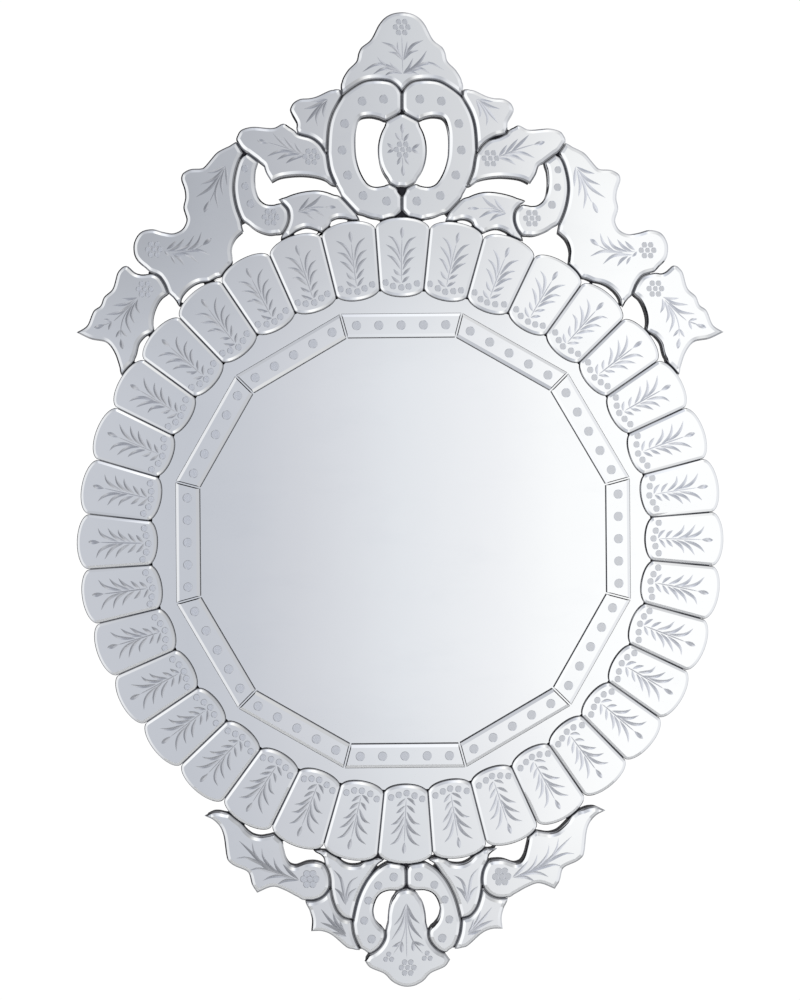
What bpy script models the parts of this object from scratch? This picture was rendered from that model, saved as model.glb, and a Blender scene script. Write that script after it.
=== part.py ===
"""Wall mirror of cut, bevelled and engraved mirror glass on a black backing board.

A round pane is framed by twelve bevelled strips and by a ring of thirty-six
rounded tiles. A crown of scrolls, leaves and wings stands over the ring, and a
smaller group of scrolls and leaves with a pendant hangs below it.

The mirror faces -Y, +Z is up, and the wall is the plane y = 0. The drawing is
in millimetres about the ring's centre; the model is in metres about the middle
of the cleat's back face, where the mirror hangs.
"""

import math

import bmesh
import bpy
import numpy as np
from mathutils.geometry import delaunay_2d_cdt

MM = 0.001
FIT_GAP = 0.3

# Depths along the wall's normal, in millimetres
CLEAT_THICKNESS = 12.0
BOARD_THICKNESS = 15.0
GLASS_THICKNESS = 4.0
STRIP_THICKNESS = 5.0
BEVEL_WIDTH = 4.3
BEVEL_DROP = 1.1

# Pane and strips
PANE_RADIUS = 253.0
PANE_SIDES = 36
STRIP_COUNT = 12
STRIP_OUTER_APOTHEM = 227.4
STRIP_INNER_APOTHEM = 203.4
STRIP_JOINT = 1.6
STRIP_BEVEL = 3.8
STRIP_DIMPLES = 5
STRIP_DIMPLE_PITCH = 22.3
DIMPLE_RADIUS = 4.8
DIMPLE_SIDES = 6
DIMPLE_DEPTH = 0.6
STRIP_TURN = 0.5

# Ring of tiles, laid three to a sector
TILE_PITCH = 10.0
TILES_PER_SECTOR = 3
TILE_INNER_RADIUS = 253.6
TILE_OUTER_RADIUS = 311.9
TILE_INNER_BULGE = 9.4
TILE_OUTER_BULGE = 11.8
TILE_INNER_POINTS = 5
TILE_OUTER_POINTS = 7
TILE_JOINT = 1.1
TILE_TURN = 0.35

# The pane's corners lie behind the joints between tiles
PANE_START = math.radians(TILE_PITCH / 2 + TILE_TURN)

# Backing board
BOARD_SETBACK = 1.0
BOARD_BRIDGE = 3.0
RECESS_CLEARANCE = 0.6

# Ornaments
LOWER_GROUP_TURN = 0.75
MEDALLION_CENTRE = (0.4, 392.3)
MEDALLION_RADII = (24.4, 35.3)
MEDALLION_POINTS = 24
# How far the ornaments' own drawing lies from the ring's centre, and how far single
# pieces were set from their places in it
ORNAMENTS_SHIFT = (0.6, -1.7)
SETTING = {
    "flower_leaf_right": (-2.0, -1.7),
    "curled_leaf_right": (0.0, -1.4),
    "shepherd_scroll_right": (-0.9, -1.2),
    "great_wing_left": (-1.2, 0.5),
    "great_wing_right": (-1.0, -0.3),
    "low_wing_left": (-2.0, -0.5),
    "low_wing_right": (-1.6, 0.0),
    "foot_wing_right": (-1.0, 0.0),
}
BIG_DIMPLE_RADIUS = 4.6
SMALL_DIMPLE_RADIUS = 3.5

# How closely corners follow the curves
CHORD_ERROR = 0.55
INSET_ERROR = 0.35
BOARD_ERROR = 1.2
SAMPLE_STEP = 0.8
CLEAR_MARGIN = 0.02
LONGEST_MITRE = 6.0
LEAST_BOARD_WINDOW = 150.0

# Hanging cleat, spacer and their screws
CLEAT_ABOVE_CENTRE = 190.0
CLEAT_LENGTH = 260.0
CLEAT_HEIGHT = 50.0
SPACER_BELOW_CENTRE = 230.0
SPACER_LENGTH = 180.0
SPACER_HEIGHT = 30.0
SCREW_RADIUS = 4.5
SCREW_DEPTH = 3.0
SCREW_SIDES = 8
SCREW_TAPER = 0.5
CLEAT_SCREW_PLACE = (90.0, CLEAT_ABOVE_CENTRE + 6.0)
SPACER_SCREW_PLACE = (65.0, -SPACER_BELOW_CENTRE)

# Front and back planes of each layer, as y
BOARD_BACK = -CLEAT_THICKNESS - FIT_GAP
BOARD_FRONT = BOARD_BACK - BOARD_THICKNESS
PANE_FRONT = BOARD_FRONT + FIT_GAP
PANE_BACK = PANE_FRONT + GLASS_THICKNESS
RECESS_FLOOR = PANE_BACK + FIT_GAP
PIECE_BACK = BOARD_FRONT - FIT_GAP
PIECE_FRONT = PIECE_BACK - GLASS_THICKNESS
STRIP_BACK = PANE_FRONT - FIT_GAP
STRIP_FRONT = STRIP_BACK - STRIP_THICKNESS

# The ornaments' outlines. Each is a list of smooth runs that meet at corners;
# a half is the left side of a piece that is symmetrical about the axis.
CREST_HALF = [
    [(0, 530.8), (-12.5, 528.3), (-20, 522.5), (-28, 510), (-31.5, 503), (-40, 496.3),
     (-43.5, 490), (-45.5, 482), (-54, 473), (-60, 462), (-59.5, 448.8)],
    [(-59.5, 448.8), (-49, 456.5), (-37, 463), (-22, 464.3), (-9, 461.5), (0, 454)],
]
BIG_SCROLL = [
    (-12.4, 461), (-24, 462), (-36, 460.8), (-50.5, 453.5), (-61.5, 442.5), (-68.5, 429.5),
    (-72.2, 415), (-73.6, 398), (-73.4, 385), (-69.6, 369), (-60, 348.5), (-47, 333.5),
    (-33.5, 326), (-20, 324.1), (-8, 326.5), (-2, 333), (-1.2, 341), (-4.5, 351.5),
    (-13, 357), (-27, 356), (-33.5, 358.5), (-40.5, 368.5), (-45.5, 384), (-46.6, 400),
    (-45.3, 417), (-41, 425), (-32, 426.8), (-17.5, 424.2), (-7.5, 427.5), (-2, 434),
    (-1.2, 444), (-4.5, 455),
]
SIDE_WING = [
    [(-62.2, 452.4), (-69, 453.1), (-76, 451.2), (-84, 447), (-92, 444.8), (-102, 443.9),
     (-108.5, 440.2), (-112, 432.8), (-109, 427), (-105.2, 418.5), (-103.4, 410.4)],
    [(-103.4, 410.4), (-92.5, 408), (-84, 403.3), (-78.8, 397.5), (-76, 391.5)],
    [(-76, 391.5), (-75.4, 403), (-74.2, 417), (-70.6, 429), (-64.5, 440.6), (-61.6, 447.3)],
    [(-61.6, 447.3), (-62.2, 452.4)],
]
FLOWER_LEAF = [
    [(-130.4, 361), (-136, 370), (-140, 380), (-150, 387.3), (-160, 396.3), (-164.8, 404.5),
     (-162, 412), (-152, 415.8), (-132, 415), (-127, 415.3), (-118.5, 419.2), (-110, 413.6),
     (-103, 407), (-90.5, 402.7), (-81, 395), (-76.2, 387.5)],
    [(-76.2, 387.5), (-75, 377), (-72.5, 368), (-68, 358.5)],
    [(-68, 358.5), (-80, 364.3), (-97, 367.3), (-112, 367), (-123, 364.8), (-130.4, 361)],
]
CURLED_LEAF = [
    [(-121.4, 343), (-112, 347.6), (-98, 351.3), (-82, 352.2), (-67, 347.5), (-55.5, 338.8),
     (-48.6, 330.5), (-44, 323.4)],
    [(-44, 323.4), (-54, 324.4), (-64, 325), (-70.5, 322), (-75, 314.8), (-80.5, 311.8),
     (-88, 313.8), (-96, 315.4), (-104, 312.8), (-112, 308.6), (-119.9, 304.4)],
    [(-119.9, 304.4), (-115, 314.5), (-112, 324.5), (-113.2, 334), (-121.4, 343)],
]
SHEPHERD_SCROLL = [
    [(-154.8, 388.2), (-161, 382.3), (-166, 366), (-166.6, 352.5), (-163, 334.5),
     (-156, 320.5), (-144.5, 311.6), (-131, 308), (-119.5, 312), (-114.4, 322),
     (-115, 331.5), (-120.5, 338.3)],
    [(-120.5, 338.3), (-135, 338.3), (-142, 343), (-146, 352), (-147.2, 365), (-145.4, 380.5)],
    [(-145.4, 380.5), (-154.8, 388.2)],
]
GREAT_WING = [
    [(-165.5, 399), (-172, 396), (-180, 392.4), (-187, 387.3), (-193.6, 378.5),
     (-198.5, 374.3), (-211, 373), (-218.5, 368.5), (-219.8, 362.5), (-216.6, 352.5),
     (-215.8, 344.5)],
    [(-215.8, 344.5), (-217.6, 334.5), (-214.5, 323.5), (-218, 314), (-227, 309),
     (-237, 310), (-250.5, 313), (-261, 309.5), (-267, 299.5), (-267, 288),
     (-263, 280.5), (-253.5, 273), (-241.5, 268), (-235, 260), (-230.6, 249),
     (-222, 237.2)],
    [(-222, 237.2), (-219.8, 243.5), (-216.5, 249), (-207, 257.3), (-191, 262.4),
     (-178.5, 268), (-172, 275.5), (-169, 281.5)],
    [(-169, 281.5), (-169.2, 294), (-165.5, 303.3), (-157.6, 311)],
    [(-157.6, 311), (-161, 320), (-166, 333.5), (-168.8, 348), (-168.4, 362.5),
     (-164.8, 378), (-160.4, 389.5)],
    [(-160.4, 389.5), (-165.5, 399)],
]
LOW_WING = [
    [(-323.7, 210.7), (-314, 216.7), (-309.8, 224), (-306.5, 232.5), (-299.5, 238),
     (-296.3, 246), (-288, 254), (-285.3, 262), (-282, 271.7), (-274.5, 277.3),
     (-265, 270.3), (-254, 268.2), (-243.8, 266), (-238.2, 259), (-234.2, 250)],
    [(-234.2, 250), (-242, 240.5), (-247, 227), (-247.2, 212.8)],
    [(-247.2, 212.8), (-256, 206.4), (-261.5, 199.5), (-264.5, 188), (-278.6, 168.2)],
    [(-278.6, 168.2), (-281.8, 177), (-286, 190.5), (-294, 200.5), (-308, 203.5),
     (-323.7, 210.7)],
]
FOOT_WING = [
    [(-201, -271.4), (-194, -267.9), (-186, -267.6), (-176, -271.2), (-163.3, -281.8),
     (-154.2, -290.5), (-146.5, -293), (-131.2, -292), (-124.8, -298.4), (-121.5, -310),
     (-117, -320.5), (-111, -323), (-98, -319.3), (-88, -320), (-79.8, -328),
     (-77.3, -338.5), (-81.5, -350.5), (-94, -356.5), (-107, -354.8), (-122, -347),
     (-133.5, -343.3), (-149.5, -349.1)],
    [(-149.5, -349.1), (-154.5, -341), (-158.5, -328.5), (-170.5, -322.8),
     (-178.3, -316.5), (-181, -300), (-184.5, -285), (-192, -276), (-201, -271.4)],
]
SPLIT_LEAF = [
    [(-90.4, -308.2), (-80.5, -309), (-69.5, -315.2), (-58, -322.4), (-47, -322.6),
     (-36.6, -318.2), (-29.5, -317), (-23.8, -318)],
    [(-23.8, -318), (-33.7, -327), (-42, -339), (-48.5, -354), (-54.4, -376.4)],
    [(-54.4, -376.4), (-62, -374.5), (-69, -367.5), (-73.4, -354), (-75.2, -338),
     (-77.8, -325.5), (-83, -314.5), (-90.4, -308.2)],
]
SMALL_SCROLL = [
    (-12, -324.8), (-23.4, -327), (-35.5, -336.4), (-45.8, -352), (-51.4, -369), (-53.1, -382),
    (-50.8, -395.5), (-45, -405.5), (-37, -410.1), (-29.5, -405.6), (-23.2, -395.5),
    (-24.8, -387.5), (-31.2, -378.7), (-33.4, -370), (-32, -361.5), (-27.2, -353),
    (-21.5, -349.8), (-10, -347.4), (-3.6, -344.6), (-1.1, -339.5), (-1.1, -331.5), (-4, -326.6),
]
SMALL_LEAF = [
    [(-100.4, -358.6), (-92, -358.8), (-83.6, -355.4), (-76.9, -348.4)],
    [(-76.9, -348.4), (-75, -357.5), (-70, -369.2), (-63.8, -375.9), (-56.6, -378.6)],
    [(-56.6, -378.6), (-55.4, -388), (-53.1, -397), (-49.4, -406.8)],
    [(-49.4, -406.8), (-58.5, -406.1), (-67, -400), (-76, -392), (-85, -388.5),
     (-95.7, -388.3)],
    [(-95.7, -388.3), (-94.9, -377), (-98, -367), (-100.4, -358.6)],
]
PENDANT_HALF = [
    [(0, -349), (-8.5, -351.8), (-15, -358.8), (-18.4, -370), (-19.3, -386),
     (-21.5, -398.7), (-27.5, -407.4), (-37, -413.7), (-42.6, -418.8)],
    [(-42.6, -418.8), (-38.5, -424.7), (-30, -429.2), (-23, -432.2), (-16, -439.3),
     (-8, -443.9), (0, -445.3)],
]
BIG_SCROLL_DIMPLES = [
    (-39, 441), (-18, 443), (-57, 418.5), (-59.5, 392), (-54, 367), (-38.5, 346.5), (-15, 341),
]
SMALL_SCROLL_DIMPLES = [
    (-13, -335.5), (-28.6, -343.8), (-39.3, -358.3), (-43.6, -378.4), (-36, -396.8),
]
SHEPHERD_SCROLL_DIMPLES = [(-155.2, 373.2), (-156.7, 355.9), (-151, 338.2)]


def clear_scene():
    for obj in list(bpy.data.objects):
        bpy.data.objects.remove(obj)


def material(name, colour, roughness, metallic):
    made = bpy.data.materials.new(name)
    made.use_nodes = True
    shader = made.node_tree.nodes["Principled BSDF"]
    shader.inputs["Base Color"].default_value = (*colour, 1.0)
    shader.inputs["Roughness"].default_value = roughness
    shader.inputs["Metallic"].default_value = metallic
    return made


# Plane geometry: points are arrays of x and z in millimetres


def spline(points, closed=False, steps=12):
    """A smooth curve through the points, with a sample every small part of each span."""
    points = np.asarray(points, float)
    if closed:
        padded = np.vstack([points[-1], points, points[:2]])
    else:
        padded = np.vstack([2 * points[0] - points[1], points, 2 * points[-1] - points[-2]])
    samples = []
    for p0, p1, p2, p3 in zip(padded, padded[1:], padded[2:], padded[3:]):
        t1 = math.sqrt(math.dist(p0, p1))
        t2 = t1 + math.sqrt(math.dist(p1, p2))
        t3 = t2 + math.sqrt(math.dist(p2, p3))
        for t in np.linspace(t1, t2, steps, endpoint=False):
            a1 = p0 + (p1 - p0) * t / t1
            a2 = p1 + (p2 - p1) * (t - t1) / (t2 - t1)
            a3 = p2 + (p3 - p2) * (t - t2) / (t3 - t2)
            b1 = a1 + (a2 - a1) * t / t2
            b2 = a2 + (a3 - a2) * (t - t1) / (t3 - t1)
            samples.append(b1 + (b2 - b1) * (t - t1) / (t2 - t1))
    if not closed:
        samples.append(points[-1])
    return np.array(samples)


def distance_to_segments(points, starts, ends):
    """The distance from each point to the nearest of the segments."""
    along = ends - starts
    lengths = np.maximum((along**2).sum(axis=1), 1e-12)
    offset = points[:, None] - starts[None]
    share = np.clip((offset * along).sum(axis=2) / lengths, 0, 1)
    nearest = starts + share[..., None] * along
    return np.linalg.norm(points[:, None] - nearest, axis=2).min(axis=1)


def thinned(points, error):
    """The open run with no more points than it takes to stay within the error."""
    if len(points) < 3:
        return list(points)
    distances = distance_to_segments(points, points[:1], points[-1:])
    far = int(distances.argmax())
    if distances[far] <= error:
        return [points[0], points[-1]]
    return thinned(points[: far + 1], error)[:-1] + thinned(points[far:], error)


def thinned_loop(points, error):
    """The closed loop thinned from its outermost point and the one farthest from that."""
    outermost = int(np.linalg.norm(points - points.mean(axis=0), axis=1).argmax())
    points = np.roll(points, -outermost, axis=0)
    far = int(np.linalg.norm(points - points[0], axis=1).argmax())
    there = thinned(points[: far + 1], error)
    back = thinned(np.vstack([points[far:], points[:1]]), error)
    return np.array(there[:-1] + back[:-1])


def signed_area(loop):
    following = np.roll(loop, -1, axis=0)
    return 0.5 * float((loop[:, 0] * following[:, 1] - following[:, 0] * loop[:, 1]).sum())


def counter_clockwise(loop):
    return loop if signed_area(loop) > 0 else loop[::-1]


def loop_of_runs(runs):
    """A closed outline of smooth runs that meet at corners."""
    points = []
    for run in runs:
        points += thinned(spline(run), CHORD_ERROR)[:-1]
    return counter_clockwise(np.array(points))


def loop_through(points):
    """A closed outline that is smooth all round."""
    return counter_clockwise(thinned_loop(spline(points, closed=True), CHORD_ERROR))


def mirrored(loop):
    return (loop * (-1, 1))[::-1]


def loop_of_half(half, pointed):
    """A closed outline that is symmetrical about x = 0, from the runs of its left side.

    The first run starts on the axis and the last one ends there, in a corner if pointed."""
    left = [list(run) for run in half]
    right = [[(-x, z) for x, z in reversed(run)] for run in reversed(left)]
    top = right[-1][:-1] + left[0]
    bottom = [left[-1], right[0]] if pointed else [left[-1][:-1] + right[0]]
    return loop_of_runs([top] + left[1:-1] + bottom + right[1:-1])


def turned(loop, degrees):
    """The loop turned about the ring's centre, counter-clockwise as seen from the front."""
    angle = math.radians(degrees)
    spin = np.array([[math.cos(angle), math.sin(angle)], [-math.sin(angle), math.cos(angle)]])
    return np.asarray(loop, float) @ spin


def circle(radius, sides, centre=(0.0, 0.0), start=0.0):
    angles = start + np.arange(sides) * 2 * math.pi / sides
    return np.column_stack([centre[0] + radius * np.cos(angles),
                            centre[1] + radius * np.sin(angles)])


def crossing(point_a, along_a, point_b, along_b):
    """Where two lines cross, or None where they run nearly the same way."""
    turn = along_a[0] * along_b[1] - along_a[1] * along_b[0]
    if abs(turn) < 1e-3:
        return None
    gap = point_b - point_a
    return point_a + along_a * (gap[0] * along_b[1] - gap[1] * along_b[0]) / turn


def moved_in(loops, distance):
    """Each loop moved to its left by the distance, or to its right by a negative one.

    Parallel samples that come nearer than that to any loop are dropped, so narrow
    tips end where the two sides meet, and neighbouring stretches are mitred."""
    starts = np.vstack(loops)
    ends = np.vstack([np.roll(loop, -1, axis=0) for loop in loops])
    made = []
    for loop in loops:
        samples, directions, edges = [], [], []
        for index, (start, end) in enumerate(zip(loop, np.roll(loop, -1, axis=0))):
            length = math.dist(start, end)
            along = (end - start) / length
            count = max(2, round(length / SAMPLE_STEP))
            for share in (np.arange(count) + 0.5) / count:
                normal = np.array([-along[1], along[0]])
                samples.append(start + (end - start) * share + normal * distance)
                directions.append(along)
                edges.append(index)
        samples = np.array(samples)
        clearances = distance_to_segments(samples, starts, ends)
        kept = np.flatnonzero(clearances > abs(distance) - CLEAR_MARGIN)
        path = []
        for here, there in zip(kept, np.roll(kept, -1)):
            if edges[here] == edges[there]:
                continue
            corner = crossing(samples[here], directions[here], samples[there], directions[there])
            if corner is None or max(math.dist(corner, samples[here]),
                                     math.dist(corner, samples[there])) > LONGEST_MITRE:
                path += [samples[here], samples[there]]
            else:
                path.append(corner)
        if len(path) > 2:
            made.append(thinned_loop(np.array(path), INSET_ERROR))
    return made


def union_of(loops):
    """The outer and inner boundaries of all the area that the loops cover."""
    points, faces = [], []
    for loop in loops:
        faces.append(list(range(len(points), len(points) + len(loop))))
        points += [tuple(point) for point in loop]
    merged, _, triangles, _, _, covers = delaunay_2d_cdt(points, [], faces, 0, 1e-5)
    edges = []
    for triangle, cover in zip(triangles, covers):
        if cover:
            edges += zip(triangle, triangle[1:] + triangle[:1])
    known = set(edges)
    onward = {a: b for a, b in edges if (b, a) not in known}
    found = []
    while onward:
        start, here = onward.popitem()
        loop = [start]
        while here != start:
            loop.append(here)
            here = onward.pop(here)
        found.append(np.array([tuple(merged[index]) for index in loop]))
    return found


def within(point, loops):
    """Whether the point is in the area that the loops bound, with holes left out."""
    x, z = point
    crossings = 0
    for loop in loops:
        following = np.roll(loop, -1, axis=0)
        spans = (loop[:, 1] > z) != (following[:, 1] > z)
        a, b = loop[spans], following[spans]
        slopes = (b[:, 0] - a[:, 0]) / (b[:, 1] - a[:, 1])
        crossings += int((a[:, 0] + (z - a[:, 1]) * slopes > x).sum())
    return crossings % 2 == 1


# Solids

FORWARD, BACKWARD = -1, 1


def cap(mesh, rings, paths, bounds, facing):
    """Triangles over the area within the bounds, through the rings' and paths' own vertices.

    A ring is a closed row of mesh vertices and a path is an open one."""
    verts = list(dict.fromkeys(vert for row in rings + paths for vert in row))
    index_of = {vert: index for index, vert in enumerate(verts)}
    edges = []
    for row in rings:
        edges += [(index_of[a], index_of[b]) for a, b in zip(row, row[1:] + row[:1])]
    for row in paths:
        edges += [(index_of[a], index_of[b]) for a, b in zip(row, row[1:])]
    flat = [(vert.co.x / MM, vert.co.z / MM) for vert in verts]
    merged, _, triangles, origins, _, _ = delaunay_2d_cdt(flat, edges, [], 0, 1e-6)
    for triangle in triangles:
        middle = np.mean([tuple(merged[index]) for index in triangle], axis=0)
        if not within(middle, bounds):
            continue
        corners = [verts[origins[index][0]] for index in triangle]
        mesh.faces.new(corners if facing == FORWARD else corners[::-1])


def row_of(mesh, loop, y):
    return [mesh.verts.new((x * MM, y * MM, z * MM)) for x, z in loop]


def walls(mesh, front, back):
    for index, vert in enumerate(front):
        after = (index + 1) % len(front)
        mesh.faces.new([vert, back[index], back[after], front[after]])


def plate(loop, insets, back, front, dimples=(), valleys=()):
    """A flat piece whose front edge is ground to a bevel that ends at the insets.

    Each dimple is (centre, radius), a shallow pit that is deepest at its middle. A valley
    is a pair of the loop's own points, joined by the line where two bevels meet."""
    mesh = bmesh.new()
    edge = row_of(mesh, loop, front + BEVEL_DROP)
    rear = row_of(mesh, loop, back)
    walls(mesh, edge, rear)
    cap(mesh, [rear], [], [loop], BACKWARD)
    rows = [edge] + [row_of(mesh, inset, front) for inset in insets]
    vert_at = {tuple(point): vert for point, vert in zip(loop, edge)}
    paths = [[vert_at[tuple(point)] for point in valley] for valley in valleys]
    bounds = [loop]
    for centre, radius in dimples:
        rim = circle(radius, DIMPLE_SIDES, centre)
        rim_row = row_of(mesh, rim, front)
        middle = row_of(mesh, [centre], front + DIMPLE_DEPTH)
        for a, b in zip(rim_row, rim_row[1:] + rim_row[:1]):
            mesh.faces.new([a, b] + middle)
        rows.append(rim_row)
        bounds.append(rim)
    cap(mesh, rows, paths, bounds, FORWARD)
    bmesh.ops.recalc_face_normals(mesh, faces=mesh.faces)
    return mesh


def add_object(name, mesh, finish):
    """The mesh as a named object, moved from the ring's centre to the cleat's."""
    bmesh.ops.translate(mesh, verts=mesh.verts, vec=(0, 0, -CLEAT_ABOVE_CENTRE * MM))
    bmesh.ops.triangulate(mesh, faces=mesh.faces)
    data = bpy.data.meshes.new(name)
    mesh.to_mesh(data)
    mesh.free()
    data.materials.append(finish)
    obj = bpy.data.objects.new(name, data)
    bpy.context.scene.collection.objects.link(obj)
    return obj


# Ring, strips and pane


def polar(radius, lateral, degrees):
    """A point at a radius along, and a distance across, the direction at an angle
    counted clockwise from the top."""
    angle = math.radians(degrees)
    return (radius * math.sin(angle) + lateral * math.cos(angle),
            radius * math.cos(angle) - lateral * math.sin(angle))


def tile_end(middle_radius, bulge, count, left_trim, right_trim):
    """One rounded end of a tile as (radius, lateral) from its left side to its right."""
    half_width = middle_radius * math.tan(math.radians(TILE_PITCH / 2))
    points = []
    for step in range(count):
        angle = math.pi * step / (count - 1)
        trim = left_trim if step < count // 2 else right_trim
        if step == count // 2:
            trim = 0.0
        lateral = -math.cos(angle) * (half_width - trim)
        points.append((middle_radius + bulge * math.sin(angle), lateral))
    return points


def tile_outline(degrees, left_trim, right_trim):
    inner = tile_end(TILE_INNER_RADIUS, -TILE_INNER_BULGE, TILE_INNER_POINTS, left_trim, right_trim)
    outer = tile_end(TILE_OUTER_RADIUS, TILE_OUTER_BULGE, TILE_OUTER_POINTS, left_trim, right_trim)
    return [polar(radius, lateral, degrees) for radius, lateral in inner + outer[::-1]]


def tile_sector_outline(index):
    """The outline of three neighbouring tiles, their joints, and each tile's own outline."""
    middle = index * TILE_PITCH * TILES_PER_SECTOR - TILE_TURN
    angles = [middle + TILE_PITCH * (step - 1) for step in range(TILES_PER_SECTOR)]
    free = FIT_GAP / 2
    inner, outer, valleys, tiles = [], [], [], []
    for step, degrees in enumerate(angles):
        left = free if step == 0 else 0.0
        right = free if step == TILES_PER_SECTOR - 1 else 0.0
        outline = tile_outline(degrees, left, right)
        near, far = outline[:TILE_INNER_POINTS], outline[TILE_INNER_POINTS:][::-1]
        if step:
            valleys.append((inner[-1], outer[-1]))
        inner += near[1:] if step else near
        outer += far[1:] if step else far
        separate = np.array(tile_outline(degrees, TILE_JOINT / 2, TILE_JOINT / 2))
        tiles.append(counter_clockwise(separate))
    return counter_clockwise(np.array(inner + outer[::-1])), valleys, tiles


def tile_sector(index):
    """Three neighbouring tiles as one body, each with its own bevel and a valley between."""
    loop, valleys, tiles = tile_sector_outline(index)
    insets = []
    for tile in tiles:
        insets += moved_in([tile], BEVEL_WIDTH - TILE_JOINT / 2)
    return plate(loop, insets, PIECE_BACK, PIECE_FRONT, valleys=valleys)


def strip(index):
    """One mitred strip of the twelve-sided rim, with its row of dimples."""
    degrees = index * 360.0 / STRIP_COUNT - STRIP_TURN
    half_pitch = math.radians(180.0 / STRIP_COUNT)
    corners = []
    for apothem, sides in ((STRIP_INNER_APOTHEM, (1, -1)), (STRIP_OUTER_APOTHEM, (-1, 1))):
        half = apothem * math.tan(half_pitch) - STRIP_JOINT / 2 / math.cos(half_pitch)
        corners += [polar(apothem, side * half, degrees) for side in sides]
    middle = (STRIP_INNER_APOTHEM + STRIP_OUTER_APOTHEM) / 2
    steps = np.arange(STRIP_DIMPLES) - (STRIP_DIMPLES - 1) / 2
    dimples = [(polar(middle, step * STRIP_DIMPLE_PITCH, degrees), DIMPLE_RADIUS) for step in steps]
    loop = counter_clockwise(np.array(corners))
    insets = moved_in([loop], STRIP_BEVEL)
    return plate(loop, insets, STRIP_BACK, STRIP_FRONT, dimples=dimples)


def flat_disc(radius, sides, front, back):
    """A round plate with square edges."""
    mesh = bmesh.new()
    loop = circle(radius, sides, start=PANE_START)
    front_ring, back_ring = row_of(mesh, loop, front), row_of(mesh, loop, back)
    walls(mesh, front_ring, back_ring)
    mesh.faces.new(front_ring)
    mesh.faces.new(back_ring)
    bmesh.ops.recalc_face_normals(mesh, faces=mesh.faces)
    return mesh


# Ornaments


def ornament_loops():
    """Every ornament's outline and dimples by name, with both hands of each pair."""
    medallion = circle(1.0, MEDALLION_POINTS) * MEDALLION_RADII + MEDALLION_CENTRE
    single = {
        "crest": (loop_of_half(CREST_HALF, pointed=True), []),
        "oval_medallion": (medallion, []),
        "pendant": (turned(loop_of_half(PENDANT_HALF, pointed=False), LOWER_GROUP_TURN), []),
    }
    crown_pairs = {
        "big_scroll": (loop_through(BIG_SCROLL), BIG_SCROLL_DIMPLES),
        "side_wing": (loop_of_runs(SIDE_WING), []),
        "flower_leaf": (loop_of_runs(FLOWER_LEAF), []),
        "curled_leaf": (loop_of_runs(CURLED_LEAF), []),
        "shepherd_scroll": (loop_of_runs(SHEPHERD_SCROLL), SHEPHERD_SCROLL_DIMPLES),
        "great_wing": (loop_of_runs(GREAT_WING), []),
        "low_wing": (loop_of_runs(LOW_WING), []),
    }
    lower_pairs = {
        "foot_wing": (loop_of_runs(FOOT_WING), []),
        "split_leaf": (loop_of_runs(SPLIT_LEAF), []),
        "small_scroll": (loop_through(SMALL_SCROLL), SMALL_SCROLL_DIMPLES),
        "small_leaf": (loop_of_runs(SMALL_LEAF), []),
    }
    found = dict(single)
    for pairs, degrees in ((crown_pairs, 0.0), (lower_pairs, LOWER_GROUP_TURN)):
        for name, (loop, dimples) in pairs.items():
            dots = np.array(dimples, float).reshape(-1, 2)
            found[name + "_left"] = (turned(loop, degrees), turned(dots, degrees))
            found[name + "_right"] = (turned(mirrored(loop), degrees),
                                      turned(dots * (-1, 1), degrees))
    for name, (loop, dots) in found.items():
        move = np.add(ORNAMENTS_SHIFT, SETTING.get(name, (0.0, 0.0)))
        found[name] = (loop + move, [dot + move for dot in dots])
    return found


def backing_board(loops):
    """One board behind everything, a little smaller than the glass, with a round recess."""
    wider = []
    for loop in loops:
        wider += moved_in([loop], -BOARD_BRIDGE)
    wider.append(circle(PANE_RADIUS, PANE_SIDES))
    narrowed = moved_in(union_of(wider), BOARD_SETBACK + BOARD_BRIDGE)
    outlines = [thinned_loop(loop, BOARD_ERROR) for loop in narrowed
                if abs(signed_area(loop)) > LEAST_BOARD_WINDOW]
    mesh = bmesh.new()
    front_rings = [row_of(mesh, loop, BOARD_FRONT) for loop in outlines]
    back_rings = [row_of(mesh, loop, BOARD_BACK) for loop in outlines]
    for front_ring, back_ring in zip(front_rings, back_rings):
        walls(mesh, front_ring, back_ring)
    cap(mesh, back_rings, [], outlines, BACKWARD)
    recess = circle(PANE_RADIUS + RECESS_CLEARANCE, PANE_SIDES, start=PANE_START)
    rim, floor = row_of(mesh, recess, BOARD_FRONT), row_of(mesh, recess, RECESS_FLOOR)
    walls(mesh, rim, floor)
    mesh.faces.new(floor)
    cap(mesh, front_rings + [rim], [], outlines + [recess], FORWARD)
    bmesh.ops.recalc_face_normals(mesh, faces=mesh.faces)
    return mesh


# Back


def bar(length, height, middle, under_cut):
    """A straight bar against the wall, its lower edge cut back by that much at the front."""
    top, bottom = middle + height / 2, middle - height / 2
    profile = [(0, top), (0, bottom), (-CLEAT_THICKNESS, bottom + under_cut),
               (-CLEAT_THICKNESS, top)]
    mesh = bmesh.new()
    left = [mesh.verts.new((-length / 2 * MM, y * MM, z * MM)) for y, z in profile]
    right = [mesh.verts.new((length / 2 * MM, y * MM, z * MM)) for y, z in profile]
    walls(mesh, left, right)
    mesh.faces.new(left)
    mesh.faces.new(right)
    bmesh.ops.recalc_face_normals(mesh, faces=mesh.faces)
    return mesh


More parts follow.
